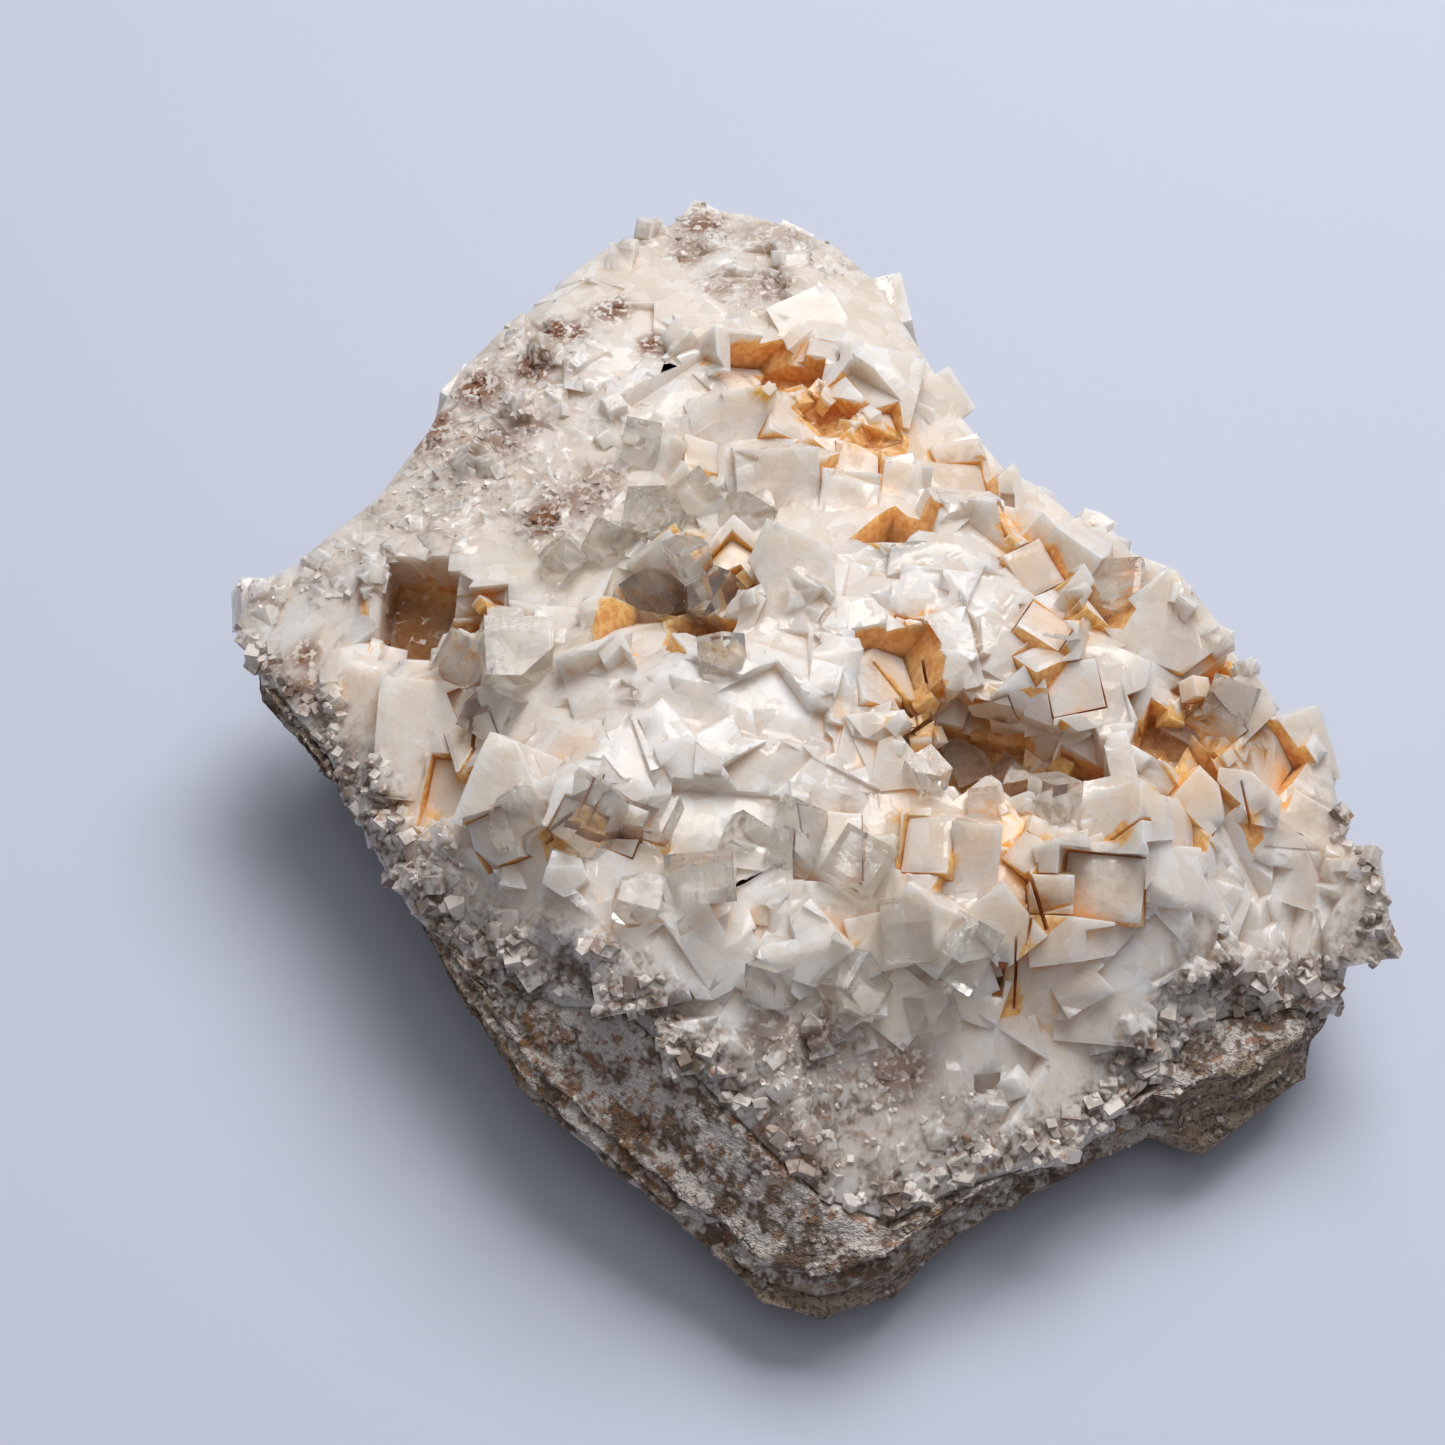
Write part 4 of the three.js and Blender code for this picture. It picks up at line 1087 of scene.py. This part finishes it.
def rock_material(settings):
    material, nodes, shader, place = new_material("Layered rock")
    flat = nodes.add("ShaderNodeMapping", {"Vector": place, "Scale": (1, 1, 5)}).outputs[0]
    layers = nodes.noise(flat, 5, 3, 0.7)
    grain = nodes.noise(place, 0.5, 2, 0.75)
    patches = nodes.noise(place, 2.4, 2, 0.6)
    base = nodes.mix(nodes.ramp(layers, 0.4, 0.6), tuple(settings.brown), (0.33, 0.25, 0.18))
    base = nodes.mix(nodes.ramp(grain, 0.46, 0.6, 0, 0.7), base, tuple(settings.tan))
    base = nodes.mix(nodes.ramp(grain, 0.34, 0.5, 0.6, 0), base, (0.045, 0.031, 0.023))
    base = nodes.mix(nodes.ramp(nodes.math("ADD", nodes.attribute("pale"), patches), 0.75, 1.1),
                     base, sugary_rock(nodes, place))
    rusty = nodes.math("ADD", nodes.math("MULTIPLY", nodes.attribute("rust"), 0.8), 0.25)
    rusty = nodes.math("MULTIPLY", rusty, nodes.ramp(nodes.noise(place, 1.3, 3), 0.54, 0.64))
    base = nodes.mix(rusty, base, (0.27, 0.12, 0.045))
    nodes.set(shader.inputs["Base Color"], base)
    nodes.set(shader.inputs["Roughness"], nodes.ramp(grain, 0.3, 0.7, 0.65, 0.95))
    height = nodes.math("ADD", nodes.math("MULTIPLY", layers, 0.7),
                        nodes.math("MULTIPLY", grain, 0.9))
    bump(nodes, shader, height, 1.0, 0.7 * MM)
    return material


def grain_material(rust_colour):
    material, nodes, shader, place = new_material("Sugary grains")
    kind = nodes.attribute("tone")
    bare = nodes.mix(nodes.ramp(kind, 0.3, 1.0, 0, 0.35), sugary_rock(nodes, place),
                     (0.5, 0.45, 0.42))
    sugar = nodes.mix(nodes.ramp(kind, 0.1, 0.8, 0.3, 1), sugary_rock(nodes, place),
                      (0.80, 0.73, 0.67))
    base = nodes.mix(nodes.attribute("on_crust"), bare, sugar)
    base = nodes.mix(nodes.math("MULTIPLY", nodes.attribute("rust"), 0.8), base, rust_colour)
    nodes.set(shader.inputs["Base Color"], base)
    nodes.set(shader.inputs["Roughness"], nodes.ramp(kind, 0.3, 0.7, 0.2, 0.6))
    shader.inputs["IOR"].default_value = FLUORITE_IOR
    return material


# ------------------------------------------------------------------------------ operators

class SPECIMEN_OT_crust(bpy.types.Operator):
    """Grow the fluorite crust: its large crystals, the small ones on them, and its colours"""
    bl_idname = "specimen.crust"
    bl_label = "Fluorite crust"

    def execute(self, context):
        settings = context.scene.specimen_crust
        crust = copy_of("fluorite_crust", "fluorite_crystals")
        set_tone(crust, 0.5)
        forms = growth_forms()
        level = Level(crust, settings.spread)
        fill_level(crust, level, forms, settings)
        keep_outer_shell(crust)
        break_tops(crust, level, forms, settings)
        openings = ring_crystals(crust, level, forms, settings)
        openings += cut_openings(crust, forms)
        line_surface(crust, level, forms, settings)
        keep_outer_shell(crust)
        discard(forms)
        edit(crust, lambda: bpy.ops.mesh.remove_doubles(threshold=MERGED),
             lambda: bpy.ops.mesh.quads_convert_to_tris())
        subdivide_to(crust, CRUST_STEP)
        displace(crust, clouds("uneven", 4.5), settings.wobble)
        edit(crust, lambda: bpy.ops.mesh.normals_make_consistent(inside=False))
        bpy.ops.object.shade_smooth_by_angle(angle=math.radians(20))
        surfaces = [tree_of(crust)]
        places = positions(crust.data)
        for name, marks in (("stain", STAIN), ("rust", RUST), ("milky", MILKY),
                            ("clear", CLEAR), ("deep", DEEP_BROWN_AND_SHADE)):
            store(crust, name, zone(places, marks, surfaces))
        store(crust, "opening", opening_depth(crust.data, openings, 0.3 * MM) / MM, "CORNER")
        store(crust, "bend", bends(crust))
        store(crust, "sugary", np.maximum(zone(places, SUGARY, surfaces),
                                          front_rim(level, places, 3.5 * MM)))
        # The shelter sets the painted shade in the crust's creases, and how strongly the stain
        # gathers there.
        store(crust, "shelter", shelter(crust, 3.5 * MM))
        finish_piece(crust, fluorite_material(settings), "fluorite_crust")
        return {"FINISHED"}


class SPECIMEN_OT_clear(bpy.types.Operator):
    """Grow the clear crystals that stand in the pockets and on the front slope"""
    bl_idname = "specimen.clear"
    bl_label = "Clear crystals"

    def execute(self, context):
        dice = random.Random(SEED + 3)
        tree = tree_of(bpy.data.objects["fluorite_crystals"])
        forms = growth_forms()
        grown = []
        for u, v, size, lean in marks_in(GEMS):
            eye, direction = sight_line(u, v)
            place, normal = tree.ray_cast(eye, direction)[:2]
            if not place:
                raise RuntimeError(f"no crust under the clear crystal {u}, {v}")
            turn = crystal_turn(dice, (normal - 2 * direction).normalized(), lean - 6, lean + 6)
            stretch = (1, dice.uniform(0.85, 1.2), dice.uniform(0.85, 1.2))
            middle = place + normal * size * 0.1 * MM
            grown.append(placed_form(dice.choice(forms[:2]), "gem", middle, turn, size * MM,
                                     stretch))
        gems = grown.pop(0)
        gems.name = "clear_crystals"
        context.scene.collection.objects.link(gems)
        combine(gems, grown, "UNION")
        discard(forms)
        edit(gems, lambda: bpy.ops.mesh.remove_doubles(threshold=CLEAR_MERGED),
             lambda: bpy.ops.mesh.normals_make_consistent(inside=False))
        finish_piece(gems, clear_material(), None)
        return {"FINISHED"}


class SPECIMEN_OT_rock(bpy.types.Operator):
    """Give the host rock its layers, lumps and grain"""
    bl_idname = "specimen.rock"
    bl_label = "Host rock"

    def execute(self, context):
        settings = context.scene.specimen_rock
        rock = copy_of("host_rock", "layered_rock")
        subdivide_to(rock, settings.step)
        displace(rock, clouds("layers", 7, 4), settings.layer, squash=(1, 1, 0.14))
        displace(rock, clouds("lumps", 2.0, 4), settings.lump)
        bpy.ops.object.shade_smooth_by_angle(angle=math.radians(35))
        surfaces = [tree_of(bpy.data.objects["fluorite_crystals"]), tree_of(rock)]
        places = positions(rock.data)
        store(rock, "rust", zone(places, RUST, surfaces))
        upwards = gathered(rock.data.vertices, "normal", 3)[:, 2]
        facing = np.clip((upwards - 0.3) * 2.5, 0, 1)
        level = Level(bpy.data.objects["fluorite_crystals"], 3 * MM)
        pale = facing * np.clip(1.2 + level.inwards(places) / (5 * MM), 0.25, 1)
        store(rock, "pale", np.maximum(pale, zone(places, PALE, surfaces)))
        finish_piece(rock, rock_material(settings), "host_rock")
        return {"FINISHED"}


class SPECIMEN_OT_grains(bpy.types.Operator):
    """Strew sugary grains over the bare rock and where the crust thins out"""
    bl_idname = "specimen.grains"
    bl_label = "Sugary grains"

    def execute(self, context):
        settings = context.scene.specimen_rock
        dice = random.Random(SEED + 2)
        rock = bpy.data.objects["layered_rock"]
        crust = bpy.data.objects["fluorite_crystals"]
        bpy.ops.object.select_all(action="DESELECT")
        bpy.ops.mesh.primitive_ico_sphere_add(subdivisions=1, radius=0.5)
        pebble = context.object
        edit(pebble, lambda: bpy.ops.mesh.bisect(plane_co=(0, 0, 0.22), plane_no=(0.2, 0.1, 1),
                                                 use_fill=True, clear_outer=True),
             lambda: bpy.ops.mesh.quads_convert_to_tris())
        forms = growth_forms()
        over_rock = scatter_places(rock, settings.grains, dice, lowest=0.1)
        over_crust = scatter_places(crust, settings.sugar, dice, lowest=0.1)
        level = Level(crust, 3 * MM)
        crust_tree = tree_of(crust)
        surfaces = [crust_tree, tree_of(rock)]
        sugary = zone_of_spots(over_crust, SUGARY, surfaces)
        up = Vector((0, 0, 1))
        # Each grain's place and normal, how much it belongs to the crust, and its range of sizes
        # in millimetres.
        fine, coarse = (0.3, 0.7), (0.7, 1.7)
        chosen = [(*spot, 0.0, fine) for spot in over_rock
                  if not crust_tree.ray_cast(spot[0] + up * 0.2 * MM, up)[0]]
        chosen += [(*spot, 1.0, fine) for spot, value in zip(over_crust, sugary)
                   if value > dice.uniform(0.2, 1)]
        rim = [(*spot, 0.5 * dice.random(), coarse) for spot in over_crust
               if level.inwards(spot[0]) < 1.5 * MM and front_rim(level, spot[0], 3 * MM) > 0.3]
        chosen += rim[:settings.rim]
        grains = []
        for place, normal, on_crust, sizes in chosen:
            form = dice.choices([pebble, *forms[1:3]], (6, 2, 2))[0]
            size = dice.uniform(*sizes) * MM
            stretch = (1, dice.uniform(0.7, 1.3), dice.uniform(0.6, 1.1))
            grain = placed_form(form, "grain", place + normal * size * dice.uniform(-0.25, 0.15),
                                Euler([dice.uniform(0, math.pi) for _ in range(3)]), size, stretch,
                                dice.random())
            store(grain, "on_crust", [on_crust] * len(grain.data.vertices))
            context.scene.collection.objects.link(grain)
            grains.append(grain)
        discard([pebble, *forms])
        if not grains:
            raise RuntimeError("no grain found a place")
        bpy.ops.object.select_all(action="DESELECT")
        for grain in grains:
            grain.select_set(True)
        context.view_layer.objects.active = grains[0]
        bpy.ops.object.join()
        joined = context.object
        joined.name = "sugary_grains"
        places = positions(joined.data)
        store(joined, "rust", zone(places, RUST, surfaces))
        finish_piece(joined, grain_material(tuple(context.scene.specimen_crust.rust)), None)
        return {"FINISHED"}


class SPECIMEN_OT_stage(bpy.types.Operator):
    """Set up the floor, the lights and the camera"""
    bl_idname = "specimen.stage"
    bl_label = "Stage"

    def execute(self, context):
        settings = context.scene.specimen_stage
        bpy.ops.object.select_all(action="DESELECT")
        bpy.ops.mesh.primitive_plane_add(size=6, location=(0, 0, -FLOOR_UNDER))
        floor = context.object
        floor.name = "floor"
        material, _, shader, _ = new_material("Floor")
        shader.inputs["Base Color"].default_value = (*settings.floor, 1)
        shader.inputs["Roughness"].default_value = 0.9
        floor.data.materials.append(material)

        world = bpy.data.worlds.new("Studio")
        world.use_nodes = True
        background = world.node_tree.nodes["Background"]
        background.inputs["Color"].default_value = (0.93, 0.95, 1.0, 1)
        background.inputs["Strength"].default_value = 0.13
        context.scene.world = world

        for name, (place, size, energy) in LAMPS.items():
            bpy.ops.object.light_add(type="AREA", location=place)
            lamp = context.object
            lamp.name = name
            lamp.data.size = size
            lamp.data.energy = energy
            lamp.rotation_euler = (-Vector(place)).to_track_quat("-Z", "Y").to_euler()

        eye = camera_axes()[0]
        bpy.ops.object.camera_add(location=eye)
        camera = context.object
        camera.data.lens = settings.lens
        camera.data.sensor_width = SENSOR
        camera.data.clip_start = 0.01
        camera.rotation_euler = (TARGET - eye).to_track_quat("-Z", "Y").to_euler()
        context.scene.camera = camera
        context.scene.view_settings.view_transform = "Standard"
        return {"FINISHED"}


class SPECIMEN_PT_panel(bpy.types.Panel):
    bl_label = "Fluorite specimen"
    bl_idname = "SPECIMEN_PT_panel"
    bl_space_type = "VIEW_3D"
    bl_region_type = "UI"
    bl_category = "Specimen"

    def draw(self, context):
        for operator in OPERATORS:
            self.layout.operator(operator.bl_idname)


OPERATORS = (SPECIMEN_OT_crust, SPECIMEN_OT_clear, SPECIMEN_OT_rock, SPECIMEN_OT_grains,
             SPECIMEN_OT_stage)
SETTINGS = {"specimen_crust": CrustSettings, "specimen_rock": RockSettings,
            "specimen_stage": StageSettings}


def register():
    for cls in (*SETTINGS.values(), *OPERATORS, SPECIMEN_PT_panel):
        bpy.utils.register_class(cls)
    for name, cls in SETTINGS.items():
        setattr(bpy.types.Scene, name, PointerProperty(type=cls))


def unregister():
    for name in SETTINGS:
        delattr(bpy.types.Scene, name)
    for cls in (SPECIMEN_PT_panel, *reversed(OPERATORS), *reversed(list(SETTINGS.values()))):
        bpy.utils.unregister_class(cls)


def main():
    register()
    bpy.ops.specimen.crust()
    bpy.ops.specimen.clear()
    bpy.ops.specimen.rock()
    bpy.ops.specimen.grains()
    bpy.ops.specimen.stage()


if __name__ == "__main__":
    main()
